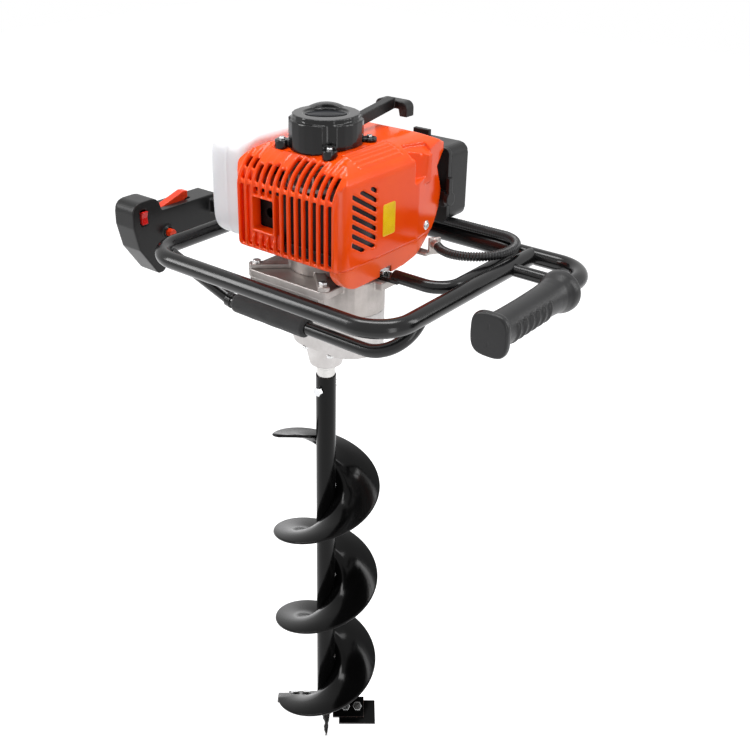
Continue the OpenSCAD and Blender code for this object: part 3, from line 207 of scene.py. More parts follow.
FINISHES = {
    "bit_paint": dict(light=(0.003, 0.003, 0.0032), dark=(0.002, 0.002, 0.002), rough=(0.10, 0.20),
        patch=22.0, grain=700.0, grain_h=0.00012, grain_s=0.10, edge=(0.10, 0.045, 0.03), edge_r=0.0009,
        Specular_IOR_Level=0.14),
    "frame_paint": dict(light=(0.008, 0.008, 0.0085), dark=(0.005, 0.005, 0.005), rough=(0.12, 0.24),
        patch=16.0, grain=1100.0, grain_h=0.0001, grain_s=0.14, edge=(0.07, 0.07, 0.075), edge_r=0.0009,
        Specular_IOR_Level=0.34),
    "steel": dict(light=(0.62, 0.61, 0.59), dark=(0.46, 0.45, 0.44), rough=(0.22, 0.38), patch=30.0,
        grain=1400.0, grain_h=0.00005, grain_s=0.2, metal=1.0, streak=(60.0, 60.0, 2600.0),
        edge=(0.8, 0.79, 0.77)),
    "zinc": dict(light=(0.66, 0.67, 0.69), dark=(0.48, 0.48, 0.47), rough=(0.18, 0.34), patch=60.0,
        grain=1600.0, grain_h=0.00004, grain_s=0.2, metal=1.0, edge=(0.8, 0.8, 0.8), edge_r=0.0006),
    "iron": dict(light=(0.22, 0.21, 0.2), dark=(0.12, 0.11, 0.1), rough=(0.38, 0.55), patch=40.0,
        grain=800.0, grain_h=0.0001, grain_s=0.3, metal=1.0),
    "cast": dict(light=(0.54, 0.50, 0.48), dark=(0.36, 0.33, 0.31), rough=(0.34, 0.52), patch=35.0,
        grain=650.0, grain_h=0.0002, grain_s=0.35, metal=0.75, edge=(0.78, 0.76, 0.74), edge_r=0.0012),
    "bare_cast": dict(light=(0.60, 0.58, 0.57), dark=(0.42, 0.40, 0.39), rough=(0.30, 0.46), patch=30.0,
        grain=700.0, grain_h=0.00018, grain_s=0.3, metal=0.7, edge=(0.84, 0.83, 0.82), edge_r=0.0012),
    "black_rubber": dict(light=(0.016, 0.016, 0.017), dark=(0.009, 0.009, 0.009), rough=(0.5, 0.7),
        patch=40.0, grain=1500.0, grain_h=0.0001, grain_s=0.3, Specular_IOR_Level=0.3),
    "grip_rubber": dict(light=(0.016, 0.016, 0.017), dark=(0.010, 0.010, 0.0105), rough=(0.30, 0.46),
        patch=26.0, grain=2200.0, grain_h=0.00012, grain_s=0.35, Specular_IOR_Level=0.32),
    # Near-black muffler: its dark finish, darkened further as painted shade in the hollow behind the guard
    "muffler_steel": dict(light=(0.030, 0.024, 0.022), dark=(0.014, 0.011, 0.010), rough=(0.45, 0.65),
        patch=45.0, grain=700.0, grain_h=0.0001, grain_s=0.25, metal=0.4, edge=(0.09, 0.07, 0.06),
        Specular_IOR_Level=0.2),
    "black_plastic": dict(light=(0.012, 0.012, 0.0125), dark=(0.007, 0.007, 0.007), rough=(0.28, 0.42),
        patch=20.0, grain=2400.0, grain_h=0.00010, grain_s=0.35, edge=(0.05, 0.05, 0.05), edge_r=0.0008,
        Specular_IOR_Level=0.26),
    "gloss_black": dict(light=(0.006, 0.006, 0.0065), dark=(0.004, 0.004, 0.004), rough=(0.08, 0.16),
        patch=20.0, grain=1200.0, grain_h=0.00006, grain_s=0.12, round_r=0.002,
        Specular_IOR_Level=0.34),
    # Orange and red plastics: their edge colours are lighter than the paint, a painted highlight along
    # sharp edges
    "orange": dict(light=srgb(255, 86, 8), dark=srgb(250, 74, 6), rough=(0.14, 0.24), patch=14.0,
        grain=900.0, grain_h=0.00006, grain_s=0.12, edge=srgb(255, 116, 30), edge_r=0.0016,
        round_r=0.0016, Specular_IOR_Level=0.28),
    "cowl_orange": dict(light=srgb(252, 100, 42), dark=srgb(246, 86, 32), rough=(0.18, 0.3), patch=14.0,
        grain=900.0, grain_h=0.00006, grain_s=0.14, edge=srgb(255, 140, 80), Specular_IOR_Level=0.3),
    "control_orange": dict(light=srgb(240, 66, 26), dark=srgb(226, 54, 20), rough=(0.24, 0.38),
        patch=30.0, grain=1600.0, grain_h=0.00008, grain_s=0.2, edge=srgb(250, 120, 80), edge_r=0.0008,
        Specular_IOR_Level=0.3),
    "switch_red": dict(light=srgb(226, 34, 28), dark=srgb(204, 24, 22), rough=(0.18, 0.3), patch=40.0,
        grain=1600.0, grain_h=0.00006, grain_s=0.15, edge=srgb(240, 90, 80), edge_r=0.0006,
        Specular_IOR_Level=0.3),
    "tank_white": dict(light=(0.84, 0.84, 0.855), dark=(0.77, 0.77, 0.79), rough=(0.26, 0.4),
        patch=16.0, grain=1300.0, grain_h=0.00008, grain_s=0.15, round_r=0.003, Subsurface_Weight=0.35,
        Subsurface_Radius=(0.02, 0.02, 0.022), Subsurface_Scale=0.5),
    "ivory": dict(light=(0.72, 0.68, 0.58), dark=(0.62, 0.57, 0.46), rough=(0.35, 0.5), patch=30.0,
        grain=900.0, grain_h=0.00006, grain_s=0.15),
    "conduit_grey": dict(light=(0.018, 0.018, 0.0185), dark=(0.010, 0.010, 0.0105), rough=(0.24, 0.4),
        patch=30.0, grain=1800.0, grain_h=0.00008, grain_s=0.25, Specular_IOR_Level=0.4),
}
mats = {name: surface(name, **values) for name, values in FINISHES.items()}


def foam(name, light, dark, pore):
    """Open-cell foam, pore the scale of its cells"""
    t = Tree(name)
    holes = t.cells(pore)
    small = t.cells(pore * 2.3)
    drift = t.noise(40.0, 4.0)
    deep = t.fit(t.math("MINIMUM", holes, small), 0.0, 0.45, 0.0, 1.0)
    # Pore centres are darker: painted shade in the holes, which also sit lower in the bump
    colour = t.mix(deep, dark, t.mix(drift, light, dark))
    t.set(Base_Color=colour, Roughness=t.fit(deep, 0.0, 1.0, 0.98, 0.78), Sheen_Weight=0.15,
          Normal=t.bump(deep, 0.5, 0.0004))
    return t.mat


mats["foam"] = foam("foam", (0.020, 0.020, 0.021), (0.006, 0.006, 0.006), 900.0)
mats["filter_foam"] = foam("filter_foam", (0.10, 0.10, 0.105), (0.03, 0.03, 0.03), 1100.0)
for part in frame["record"]["subparts"]:
    mesh = nodes[part["node"]].data
    mesh.materials.clear()
    mesh.materials.append(mats[part["material_slot"]])


# Piece helpers: sizes are in metres in the mesh, and in millimetres where a helper says so
SIDE, UP, FRONT, ALONG = Vector((1, 0, 0)), Vector((0, 0, 1)), Vector((0, -1, 0)), Vector((0, 1, 0))


def box_mm(node):
    """Low and high corner of a node's box in millimetres"""
    return [v * 1000 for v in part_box(node)]


def mesh_object(name, bm):
    bmesh.ops.recalc_face_normals(bm, faces=bm.faces)
    mesh = bpy.data.meshes.new(name)
    bm.to_mesh(mesh)
    bm.free()
    ob = bpy.data.objects.new(name, mesh)
    scene.collection.objects.link(ob)
    return ob


def dress(ob, slot, body, material=None):
    """Gives a piece its finish, taken by slot unless one is given, smooth shading and body"""
    ob.data.materials.clear()
    ob.data.materials.append(material or mats[slot])
    for p in ob.data.polygons:
        p.use_smooth = True
    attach(ob, body)
    return ob


def piece(name, bm, slot, body="chassis", material=None):
    return dress(mesh_object(name, bm), slot, body, material)


def rings(bm, loops, closed=False):
    """Skins a list of vertex loops, and closes the ends or joins the last loop to the first"""
    verts = [[bm.verts.new(p) for p in loop] for loop in loops]
    n = len(verts[0])
    pairs = list(zip(verts, verts[1:]))
    if closed:
        pairs.append((verts[-1], verts[0]))
    for a, b in pairs:
        for i in range(n):
            bm.faces.new((a[i], a[(i + 1) % n], b[(i + 1) % n], b[i]))
    if not closed:
        bm.faces.new(verts[0])
        bm.faces.new(verts[-1])


def circle(n):
    """Cosine and sine of n even steps round a circle"""
    return [(math.cos(2 * math.pi * j / n), math.sin(2 * math.pi * j / n)) for j in range(n)]


def squircle(n, power):
    """A unit circle pressed towards a square, squarer with a higher power"""
    points = []
    for c, s in circle(n):
        q = 1 / (abs(c) ** power + abs(s) ** power) ** (1 / power)
        points.append((c * q, s * q))
    return points


# Throttle conduit, on the route of the CAD solid, first in millimetres
HANDLE_X, RUN_Y, RUN_Z = -240, 178, 823.5       # exit at the handle, and the run behind the engine
BEND_R, LOOP_R, LOOP_X, LOOP_END = 52, 48, 139, 213
TAIL = 12


def loop_point(a):
    """The loop at the right rear by its angle in degrees; below 0, the run before it in millimetres"""
    r = math.radians(max(a, 0.0))
    along = a if a < 0 else LOOP_R * math.sin(r)
    rise = 3 * math.sin(r) - max(a - 90, 0) / 80
    return Vector((LOOP_X + along, RUN_Y - LOOP_R * (1 - math.cos(r)), RUN_Z + rise))


route = [Vector((HANDLE_X, y, z)) for y, z in ((56, 812), (78, 812), (100, 816))]
for step in range(5):
    a = math.radians(22.5 * step)
    route.append(Vector((HANDLE_X + BEND_R * (1 - math.cos(a)), RUN_Y - BEND_R * (1 - math.sin(a)),
                         RUN_Z + 2 * math.sin(2 * a))))
route += [Vector((x, RUN_Y, RUN_Z)) for x in (-130, -70, -10, 50)]
route += [loop_point(a) for a in range(-27, LOOP_END + 1, 24)]
leave = math.radians(LOOP_END)
route.append(loop_point(LOOP_END) + TAIL * Vector((math.cos(leave), -math.sin(leave), 0)))
ROUTE = [p / 1000 for p in route]


def spline(u):
    """A point on the smooth line through the route, u from 0 to 1"""
    n = len(ROUTE) - 1
    i = min(int(u * n), n - 1)
    t = u * n - i
    p1, p2 = ROUTE[i], ROUTE[i + 1]
    p0 = ROUTE[i - 1] if i else 2 * p1 - p2
    p3 = ROUTE[i + 2] if i < n - 1 else 2 * p2 - p1
    return 0.5 * (2 * p1 + (p2 - p0) * t + (2 * p0 - 5 * p1 + 4 * p2 - p3) * t * t
                  + (3 * p1 - p0 - 3 * p2 + p3) * t ** 3)


def measured(samples):
    """Points of the spline with the length run at each"""
    pts = [spline(k / samples) for k in range(samples + 1)]
    along = [0.0]
    for a, b in zip(pts, pts[1:]):
        along.append(along[-1] + (b - a).length)
    return pts, along


def even(pts, along, count):
    """Points at even lengths along a measured line"""
    out, j = [], 0
    for k in range(count + 1):
        s = along[-1] * k / count
        while j < len(pts) - 2 and along[j + 1] < s:
            j += 1
        f = (s - along[j]) / max(along[j + 1] - along[j], 1e-9)
        out.append(pts[j].lerp(pts[j + 1], min(f, 1.0)))
    return out


HOSE_D, HOSE_BORE_R = 0.012, 0.004
RIBS, HOSE_SIDES = 190, 20
RIB_RADII = (0.0060, 0.0060, 0.0058, 0.0051, 0.0049, 0.0051)    # one rib and its valley
fine_pts, fine_along = measured(2600)
line = even(fine_pts, fine_along, RIBS * len(RIB_RADII))
bm = bmesh.new()
side = UP
outer, inner = [], []
for k, p in enumerate(line):
    d = (line[min(k + 1, len(line) - 1)] - line[max(k - 1, 0)]).normalized()
    side = (side - d * side.dot(d)).normalized()
    hoop = [side * c + d.cross(side) * s for c, s in circle(HOSE_SIDES)]
    outer.append([p + h * RIB_RADII[k % len(RIB_RADII)] for h in hoop])
    inner.append([p + h * HOSE_BORE_R for h in hoop])
rings(bm, outer + inner[::-1], closed=True)
hose = piece("conduit_hose", bm, "conduit_grey")
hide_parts("conduit")

# Foam sleeve on the lower bar, with round ends, a seam and a slightly uneven skin
SLEEVE_ROUND, SLEEVE_BORE_R, UNEVEN = 0.004, 0.0081, 0.0004
SEAM_AT, SEAM_WIDTH, SEAM_DEPTH = 4.2, 0.06, 0.0006
STEPS, HOOP = 150, 56
lo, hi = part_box("foam_sleeve")
cy, cz, half = (lo.y + hi.y) / 2, (lo.z + hi.z) / 2, (hi.z - lo.z) / 2
bm = bmesh.new()
loops = []
for k in range(STEPS + 1):
    x = lo.x + (hi.x - lo.x) * k / STEPS
    end = min(x - lo.x, hi.x - x, SLEEVE_ROUND)
    r = half - SLEEVE_ROUND + math.sqrt(max(0.0, SLEEVE_ROUND ** 2 - (SLEEVE_ROUND - end) ** 2))
    loop = []
    for j, (c, s) in enumerate(circle(HOOP)):
        seam = SEAM_DEPTH * math.exp(-((2 * math.pi * j / HOOP - SEAM_AT) / SEAM_WIDTH) ** 2)
        rr = r - UNEVEN + UNEVEN * noise.noise(Vector((x * 60, c * 1.4, s * 1.4))) - seam
        loop.append((x, cy + rr * c, cz + rr * s))
    loops.append(loop)
for x in (hi.x, lo.x):
    loops.append([(x, cy + SLEEVE_BORE_R * c, cz + SLEEVE_BORE_R * s) for c, s in circle(HOOP)])
rings(bm, loops, closed=True)
sleeve = piece("foam_sleeve_soft", bm, "foam")
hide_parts("foam_sleeve")

# Filter element: a rounded foam block with shallow pleats
ELEMENT_ROUND, PLEATS, PLEAT_DEPTH, ELEMENT_SIDES, LAYERS = 0.004, 30, 0.0006, 120, 8
lo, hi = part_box("filter_element")
mid, size = (lo + hi) / 2, (hi - lo) / 2
bm = bmesh.new()
loops = []
for k in range(LAYERS + 1):
    v = -1 + 2 * k / LAYERS
    inset = ELEMENT_ROUND * (1 - math.sqrt(max(0.0, 1 - max(0.0, abs(v) - 0.6) ** 2 / 0.16)))
    loop = []
    for j, (c, s) in enumerate(squircle(ELEMENT_SIDES, 6)):
        wave = PLEAT_DEPTH * (1 + math.sin(2 * math.pi * j / ELEMENT_SIDES * PLEATS))
        rx, rz = size.x - inset - wave, size.z - inset - wave
        loop.append((mid.x + rx * c, mid.y + size.y * v, mid.z + rz * s))
    loops.append(loop)
rings(bm, loops)
element = piece("filter_element_foam", bm, "filter_foam")
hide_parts("filter_element")


# Moulded and cast forms: a node's solid with what is added, melted into one skin; sizes in millimetres
def melt(name, bm, voxel, rounds, slot, body="chassis", keep=0.4, cutters=()):
    """One skin with round edges from closed solids that may overlap, less the cutters

    voxel is the skin's grain, rounds the smoothing passes and keep the share of triangles kept
    """
    ob = mesh_object(name, bm)
    raw = ob.data
    tools = [mesh_object(name + "_tool", cutter) for cutter in cutters]

    def skin():
        remesh = ob.modifiers.new("skin", "REMESH")
        remesh.mode = "VOXEL"
        remesh.voxel_size = voxel / 1000

    skin()
    for tool in tools:
        cut = ob.modifiers.new("cut", "BOOLEAN")
        cut.object = tool
        cut.operation = "DIFFERENCE"
        cut.solver = "EXACT"
    if tools:
        skin()
    soft = ob.modifiers.new("soft", "SMOOTH")
    soft.factor = 0.5
    soft.iterations = rounds
    thin = ob.modifiers.new("thin", "DECIMATE")
    thin.ratio = keep
    done = bpy.data.meshes.new_from_object(ob.evaluated_get(bpy.context.evaluated_depsgraph_get()))
    ob.modifiers.clear()
    ob.data = done
    bpy.data.meshes.remove(raw)
    for tool in tools:
        tool_mesh = tool.data
        bpy.data.objects.remove(tool)
        bpy.data.meshes.remove(tool_mesh)
    return dress(ob, slot, body)


def solids(*names):
    """The CAD meshes of some nodes in one bmesh"""
    bm = bmesh.new()
    for name in names:
        bm.from_mesh(nodes[name].data)
    bmesh.ops.remove_doubles(bm, verts=bm.verts, dist=1e-6)
    return bm


def frustum(bm, low, high):
    """A closed solid between two polygons with the same number of points"""
    rings(bm, [[Vector(v) / 1000 for v in low], [Vector(v) / 1000 for v in high]])


def block(bm, x, y, z):
    corners = ((0, 0), (1, 0), (1, 1), (0, 1))
    frustum(bm, *([(x[i], y[j], z[k]) for j, k in corners] for i in (0, 1)))


def rod(bm, p, q, r, n=28):
    """A closed round bar from p to q"""
    p, q = Vector(p), Vector(q)
    d = (q - p).normalized()
    s = d.orthogonal().normalized()
    frustum(bm, *([end + (s * a + d.cross(s) * b) * r for a, b in circle(n)] for end in (p, q)))


def bar(bm, pts, across, half, outs, depth, proud):
    """A strip along pts with a round outer edge; across is its width, outs its outward normals"""
    arc = [(math.cos(math.pi * k / 8), math.sin(math.pi * k / 8)) for k in range(9)]
    loops = []
    for p, n in zip(pts, outs):
        loop = [p + across * half * c + n * proud * s for c, s in arc]
        loop += [p - across * half - n * depth, p + across * half - n * depth]
        loops.append([v / 1000 for v in loop])
    rings(bm, loops)


def form(node, voxel, rounds, slot, body="chassis", keep=0.4, add=None, cutters=()):
    """Melts one node's solid, with what add puts to it"""
    bm = solids(node)
    if add:
        add(bm)
    ob = melt(node + "_form", bm, voxel, rounds, slot, body, keep, cutters)
    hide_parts(node)


# Shroud: the solid's shell, with ribs that stand proud of the guard and run over the crown
GUARD_Y, GUARD_Z = -80.0, (838, 911)                # guard's face, and its slots' foot and cross bar
FRONT_AT, FRONT_R = (-10.0, 907.0), (70.0, 50.0)    # front ellipse in Y and Z
SIDE_AT, SIDE_R = (40.0, 929.0), (43.0, 46.0)       # side ellipses in X and Z, left and right radius
SIDE_H = 28.0
SLOT_FIRST, SLOT_PITCH, SLOT_HALF, CROWN_SLOT_HALF = -30.0, 11.4, 3.7, 3.4
SLOT_DEPTH = (-90, -75)
RIB_HALF, RIB_DEPTH, RIB_LIFT, RIB_TOP = 1.8, 4.0, 2.6, -42.0
WINDOW_X, WINDOW_Z = (-48.0, -12.0), (859.0, 899.0)
FRAME_HALF, FRAME_DEPTH = 1.6, 14.0
FLOOR_Y, FLOOR_Z = (-72, -69), 834                  # blind floors behind the left slots
TOP_SLOTS, TOP_FIRST, TOP_PITCH, TOP_Y = 6, 49, 6, (-34, 56)


def crown_z(x):
    """Height of the crown's skin behind the front ellipse"""
    t = max(0.0, abs(x) - SIDE_AT[0]) / SIDE_R[x > 0]
    return SIDE_AT[1] + SIDE_H * math.sqrt(max(0.0, 1 - t * t))


def rib_path(x, top):
    """Line of a rib from the guard's foot over the crown, as far as Y is top"""
    foot = ((-71, 832.5), (-76, 833.2), (-79, 836), (-80, 840))
    pts = [Vector((x, y, z)) for y, z in foot]
    pts += [Vector((x, GUARD_Y, z)) for z in (850, 862, 872, 882, 892, 902)]
    for a in range(180, 92, -3):
        c, s = math.cos(math.radians(a)), math.sin(math.radians(a))
        p = Vector((x, FRONT_AT[0] + FRONT_R[0] * c, FRONT_AT[1] + FRONT_R[1] * s))
        if p.y > top or p.z > crown_z(x) - 0.5:
            break
        pts.append(p)
    return pts


def normals(pts):
    """Outward normals of a line that lies in a plane of Y and Z"""
    ends = [pts[0], *pts, pts[-1]]
    steps = [(b - a).normalized() for a, b in zip(ends, ends[2:])]
    return [Vector((0, -t.z, t.y)) for t in steps]


def in_window(x):
    return WINDOW_X[0] < x < WINDOW_X[1]


def lobe(bm, x0, x1, a0, a1):
    """A smooth field on the crown, from the angle where the slots end up to the starter"""
    count = round((x1 - x0) / 3) + 1
    for k in range(count):
        t = k / (count - 1)
        low = FRONT_AT[1] + FRONT_R[1] * math.sin(math.radians(a0 + (a1 - a0) * t))
        lane = [Vector((x0 + (x1 - x0) * t, p.y, p.z)) for p in rib_path(SLOT_FIRST, RIB_TOP) if p.z > low]
        if len(lane) > 1:
            bar(bm, lane, SIDE, 2.6, normals(lane), 3.5, RIB_LIFT * 0.8)


def shroud_relief(bm):
    """Ribs, window frame, blind floors, solid rear corner, smooth fields and top ridges"""
    for k in range(-4, 10):
        x = SLOT_FIRST + (k + 0.5) * SLOT_PITCH
        pts = rib_path(x, RIB_TOP if abs(x) < 46 else FRONT_AT[0])
        parts = [pts]
        if in_window(x):
            parts = [[q for q in pts if q.z < WINDOW_Z[0] - 1], [q for q in pts if q.z > WINDOW_Z[1] + 1]]
        for part in parts:
            bar(bm, part, SIDE, RIB_HALF, normals(part), RIB_DEPTH, RIB_LIFT)
    for x in WINDOW_X:
        post = [Vector((x, GUARD_Y, z)) for z in (WINDOW_Z[0] - 3, 870, 885, WINDOW_Z[1] + 3)]
        bar(bm, post, SIDE, FRAME_HALF, [FRONT] * 4, FRAME_DEPTH, RIB_LIFT)
    for z in (WINDOW_Z[0] - 1.5, WINDOW_Z[1] + 1.5):
        rail = [Vector((x, GUARD_Y, z)) for x in (WINDOW_X[0], -38, -22, WINDOW_X[1])]
        bar(bm, rail, UP, FRAME_HALF, [FRONT] * 4, FRAME_DEPTH, RIB_LIFT)
    block(bm, (-78, -50), FLOOR_Y, (FLOOR_Z, 930))
    block(bm, (-50, -10), FLOOR_Y, (FLOOR_Z, WINDOW_Z[0] - 2))
    for k in range(TOP_SLOTS):
        x = TOP_FIRST + TOP_PITCH * k
        block(bm, (x - 3, x + 3), TOP_Y, (crown_z(x) - 6, crown_z(x) - 3))
    for x0, x1, z in ((58, 70, 948), (69, 78, 943), (77, 84, 935)):
        block(bm, (x0, x1), (60, 104), (900, z))
    lobe(bm, -45.0, -15.0, 146.0, 140.0)
    lobe(bm, -8.0, 10.0, 146.0, 120.0)
    for k in range(TOP_SLOTS - 1):
        x = TOP_FIRST + TOP_PITCH * (k + 0.5)
        ridge = [Vector((x, y, crown_z(x) - 0.2)) for y in range(TOP_Y[0] + 2, TOP_Y[1], 8)]
        bar(bm, ridge, SIDE, 1.4, [UP] * len(ridge), 3.0, 2.2)


def wide_slots():
    """Opens the guard's slots to the width that leaves slender ribs, and some of them further up"""
    bm = bmesh.new()
    for k in range(-3, 10):
        x = SLOT_FIRST + k * SLOT_PITCH
        spans = [GUARD_Z]
        if in_window(x):
            spans = [(GUARD_Z[0], WINDOW_Z[0] - 4), (WINDOW_Z[1] + 4, GUARD_Z[1])]
        for span in spans:
            block(bm, (x - SLOT_HALF, x + SLOT_HALF), SLOT_DEPTH, span)
        if 0 < x < 45:
            block(bm, (x - CROWN_SLOT_HALF, x + CROWN_SLOT_HALF), (-70, -49), (930, 975))
    return bm


pocket = bmesh.new()
frustum(pocket, ((77, 70, 909), (86, 66, 905), (86, 93, 905), (84, 93, 909)),
        ((70, 66, 950), (96, 64, 950), (96, 97, 950), (82, 97, 950)))
shoulder = bmesh.new()
STEP = ((66, 60, 947), (96, 60, 929), (96, 102, 926), (72, 102, 944))
frustum(shoulder, STEP, [(x, y, 975) for x, y, z in STEP])
form("engine_shroud", 1.1, 4, "orange", add=shroud_relief, cutters=[wide_slots(), shoulder, pocket])


# Other covers, castings and controls
def flange_ribs(bm):
    """Stiffening ribs and a rim under the flange, as a die casting has"""
    lo, hi = box_mm("gear_case_upper")
    for k in range(6):
        x = lo.x + 14 + k * 20
        block(bm, (x - 1.8, x + 1.8), (lo.y + 2, lo.y + 16), (hi.z - 22, hi.z - 5))
    block(bm, (lo.x + 6, lo.x + 118), (lo.y + 2, lo.y + 5), (hi.z - 18, hi.z - 5))


form("lower_cowl", 0.9, 8, "cowl_orange")
form("starter_housing", 0.9, 5, "gloss_black")
form("starter_handle", 0.6, 5, "black_plastic", "starter_handle")
form("filter_cover", 1.0, 6, "black_plastic")
form("filter_knob", 0.5, 3, "black_plastic", "filter_knob")
form("choke_lever", 0.5, 3, "black_plastic", "choke")
form("gear_case_lower", 0.9, 3, "bare_cast", keep=0.35)
form("gear_case_middle", 0.8, 2, "bare_cast", keep=0.35)
form("gear_case_upper", 0.9, 3, "cast", keep=0.35, add=flange_ribs)
form("clutch_bell", 0.9, 3, "cast", keep=0.35)
form("carburettor", 0.8, 2, "cast", keep=0.35)
form("muffler", 1.0, 4, "muffler_steel")
form("lockout_lever", 0.5, 5, "control_orange", "lockout")
form("throttle_trigger", 0.5, 5, "black_plastic", "trigger")
form("lock_button", 0.4, 4, "control_orange", "button")
form("stop_switch", 0.4, 4, "switch_red", "switch")

# Throttle handle: both halves as one soft-edged moulding, with a well that the button moves in
BUTTON_PLAY = 1.0
lo, hi = box_mm("lock_button")
cy, cz = (lo.y + hi.y) / 2, (lo.z + hi.z) / 2
well = bmesh.new()
rod(well, (lo.x - 5, cy, cz), (hi.x + 3, cy, cz), (hi.z - lo.z) / 2 + BUTTON_PLAY)
HALVES = ("throttle_half_left", "throttle_half_right")
hand = melt("throttle_handle_form", solids(*HALVES), 1.0, 16, "black_plastic", cutters=[well])
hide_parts(*HALVES)

# Fuel tank: a blow-moulded shell with round corners, a parting ridge, a neck and a lug
NECK_L, NECK_R, LUG_L = 8.0, 15.0, 4.0
RIDGE, RIDGE_HALF = 0.9, 0.03
TANK_SIDES, TANK_ROWS = 120, 14
lo, hi = box_mm("fuel_tank")
wall = (lo.x + NECK_L, hi.x - LUG_L)
mid, half = (lo + hi) / 2, (hi - lo) / 2


def tank_row(v):
    """The tank's outline at v across its width, from -1 to 1"""
    edge = (1 - abs(v) ** 5) ** (1 / 5)
    shrink = 0.72 + 0.28 * edge if abs(v) > 0.3 else 1.0
    grow = RIDGE * math.exp(-(v / RIDGE_HALF) ** 2) - RIDGE
    x = (wall[0] + wall[1]) / 2 + (wall[1] - wall[0]) / 2 * v
    return [Vector((x, mid.y + (half.y * shrink + grow) * c, mid.z + (half.z * shrink + grow) * s)) / 1000
            for c, s in squircle(TANK_SIDES, 6)]


rows = {round(math.sin(math.pi / 2 * k / TANK_ROWS), 4) for k in range(-TANK_ROWS, TANK_ROWS + 1)}
rows |= {side * RIDGE_HALF * step for side in (-1, 1) for step in (0.5, 1, 2)}
bm = bmesh.new()
rings(bm, [tank_row(v) for v in sorted(rows)])
cap_lo, cap_hi = box_mm("fuel_cap")
cy, cz = (cap_lo.y + cap_hi.y) / 2, (cap_lo.z + cap_hi.z) / 2
rod(bm, (lo.x, cy, cz), (wall[0] + 2, cy, cz), NECK_R, 40)
block(bm, (wall[1] - 3, hi.x), (10, 40), (lo.z + 30, lo.z + 60))
tank = melt("fuel_tank_form", bm, 1.2, 4, "tank_white", keep=0.5)
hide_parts("fuel_tank")

# Auger flight: the helical plate of the solid, in fine steps and with a rounded rim
TURNS, PITCH, PER_TURN = 3, 155, 150
FLIGHT_Z, FLIGHT_A, FLIGHT_R, STEM_R = 82, math.radians(220), 74.9, 13.6
CORNER, CORNER_DEG = 9, 9                           # rounding of the plate's two ends
HALF_T, WAVE = 2, 0.25
loops = []
for k in range(TURNS * PER_TURN + 1):
    a = FLIGHT_A + 2 * math.pi * k / PER_TURN
    z = FLIGHT_Z + PITCH * k / PER_TURN
    end_deg = min(k, TURNS * PER_TURN - k) / PER_TURN * 360
    rim = FLIGHT_R - CORNER * (1 - min(end_deg / CORNER_DEG, 1.0)) ** 2
    under = [(r, -HALF_T) for r in (STEM_R, 30, 50, rim - 1.6)] + [(rim - 0.5, -0.7 * HALF_T)]
    profile = under + [(rim, 0)] + [(r, -h) for r, h in reversed(under)]
    wave = WAVE * noise.noise(Vector((k / 21, 0, 0)))
    loops.append([Vector((r * math.cos(a), r * math.sin(a), z + h + wave * r / 75)) / 1000
                  for r, h in profile])
bm = bmesh.new()
rings(bm, loops)
flight = piece("auger_flight_form", bm, "bit_paint", "bit")
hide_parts("auger_flight")

# Plain grip: waisted rubber with finger ribs, a flared inner flange and a rounded D plate on its end
GRIP_X, GRIP_Z, GRIP_BORE_R = 273.0, 806.0, 11.0
FINGERS, FINGER_FIRST, FINGER_PITCH = 6, -22, 13.5
SECTIONS = (    # Y, radius in X, radius in Z, squareness
    (-56, 21.5, 24, 3.2), (-55.2, 22.6, 25.2, 3.2), (-53.5, 23.4, 26, 3.2), (-49, 23.4, 26, 3.2),
    (-46.5, 22.4, 25, 3.1), (-45, 20.4, 22.5, 2.8), (-42, 18.8, 20, 2.5), (-36, 18.4, 19.2, 2.3),
    (-20, 18.0, 18.8, 2.2), (0, 17.8, 18.6, 2.2), (20, 17.8, 18.6, 2.2), (45, 18.2, 18.9, 2.2),
    (60, 18.6, 19.3, 2.2), (72, 19.2, 20, 2.2), (82, 20.5, 21.5, 2.1), (88, 22.5, 23.5, 2.1),
    (92, 24.6, 25, 2.0), (96, 25.6, 25.7, 2.0), (102, 25.8, 25.8, 2.0), (104, 25.2, 25.2, 2.0),
    (105, 24, 24, 2.0))
bm = bmesh.new()
rings(bm, [[Vector((GRIP_X + rx * c, y, GRIP_Z + rz * s)) / 1000 for c, s in squircle(72, power)]
           for y, rx, rz, power in SECTIONS])
for k in range(FINGERS):
    pts, outs = [], []
    for degrees in range(62, 203, 10):
        a = math.radians(degrees)
        out = Vector((17.8 * math.sin(a), 0, 18.6 * math.cos(a)))
        pts.append(Vector((GRIP_X, FINGER_FIRST + k * FINGER_PITCH, GRIP_Z)) + out)
        outs.append(out.normalized())
    bar(bm, pts, ALONG, 3.0, outs, 4.0, 3.2)
slots = bmesh.new()
for span in ((813, 820), (792, 799)):
    block(slots, (GRIP_X - 0.8, GRIP_X + 0.8), (-60, -53.5), span)
bore = bmesh.new()
rod(bore, (GRIP_X, -46, GRIP_Z), (GRIP_X, 110, GRIP_Z), GRIP_BORE_R, 48)
grip = melt("plain_grip_form", bm, 0.8, 3, "grip_rubber", keep=0.45, cutters=[slots, bore])
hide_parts("plain_grip")


# Small trim: bare labels, dark sheets that paint shade behind the openings, a screw
def plate(name, corner, du, dv, w, h, thick, slot, material=None):
    """A thin plate with round corners, w along du and h along dv from one corner"""
    r = 3.0
    n = du.cross(dv).normalized()
    ring = []
    for cx, cy, a0 in ((w - r, h - r, 0), (r, h - r, 90), (r, r, 180), (w - r, r, 270)):
        for k in range(7):
            a = math.radians(a0 + 15 * k)
            ring.append((cx + r * math.cos(a), cy + r * math.sin(a)))
    loops = []
    for inset, lift in ((0.0, 0.0), (0.0, thick * 0.7), (0.25, thick), (1.2, thick)):
        fx, fy = 2 * inset / w, 2 * inset / h
        loops.append([(corner + du * (x + (w / 2 - x) * fx) + dv * (y + (h / 2 - y) * fy) + n * lift) / 1000
                      for x, y in ring])
    bm = bmesh.new()
    rings(bm, loops)
    piece(name, bm, slot, material=material)


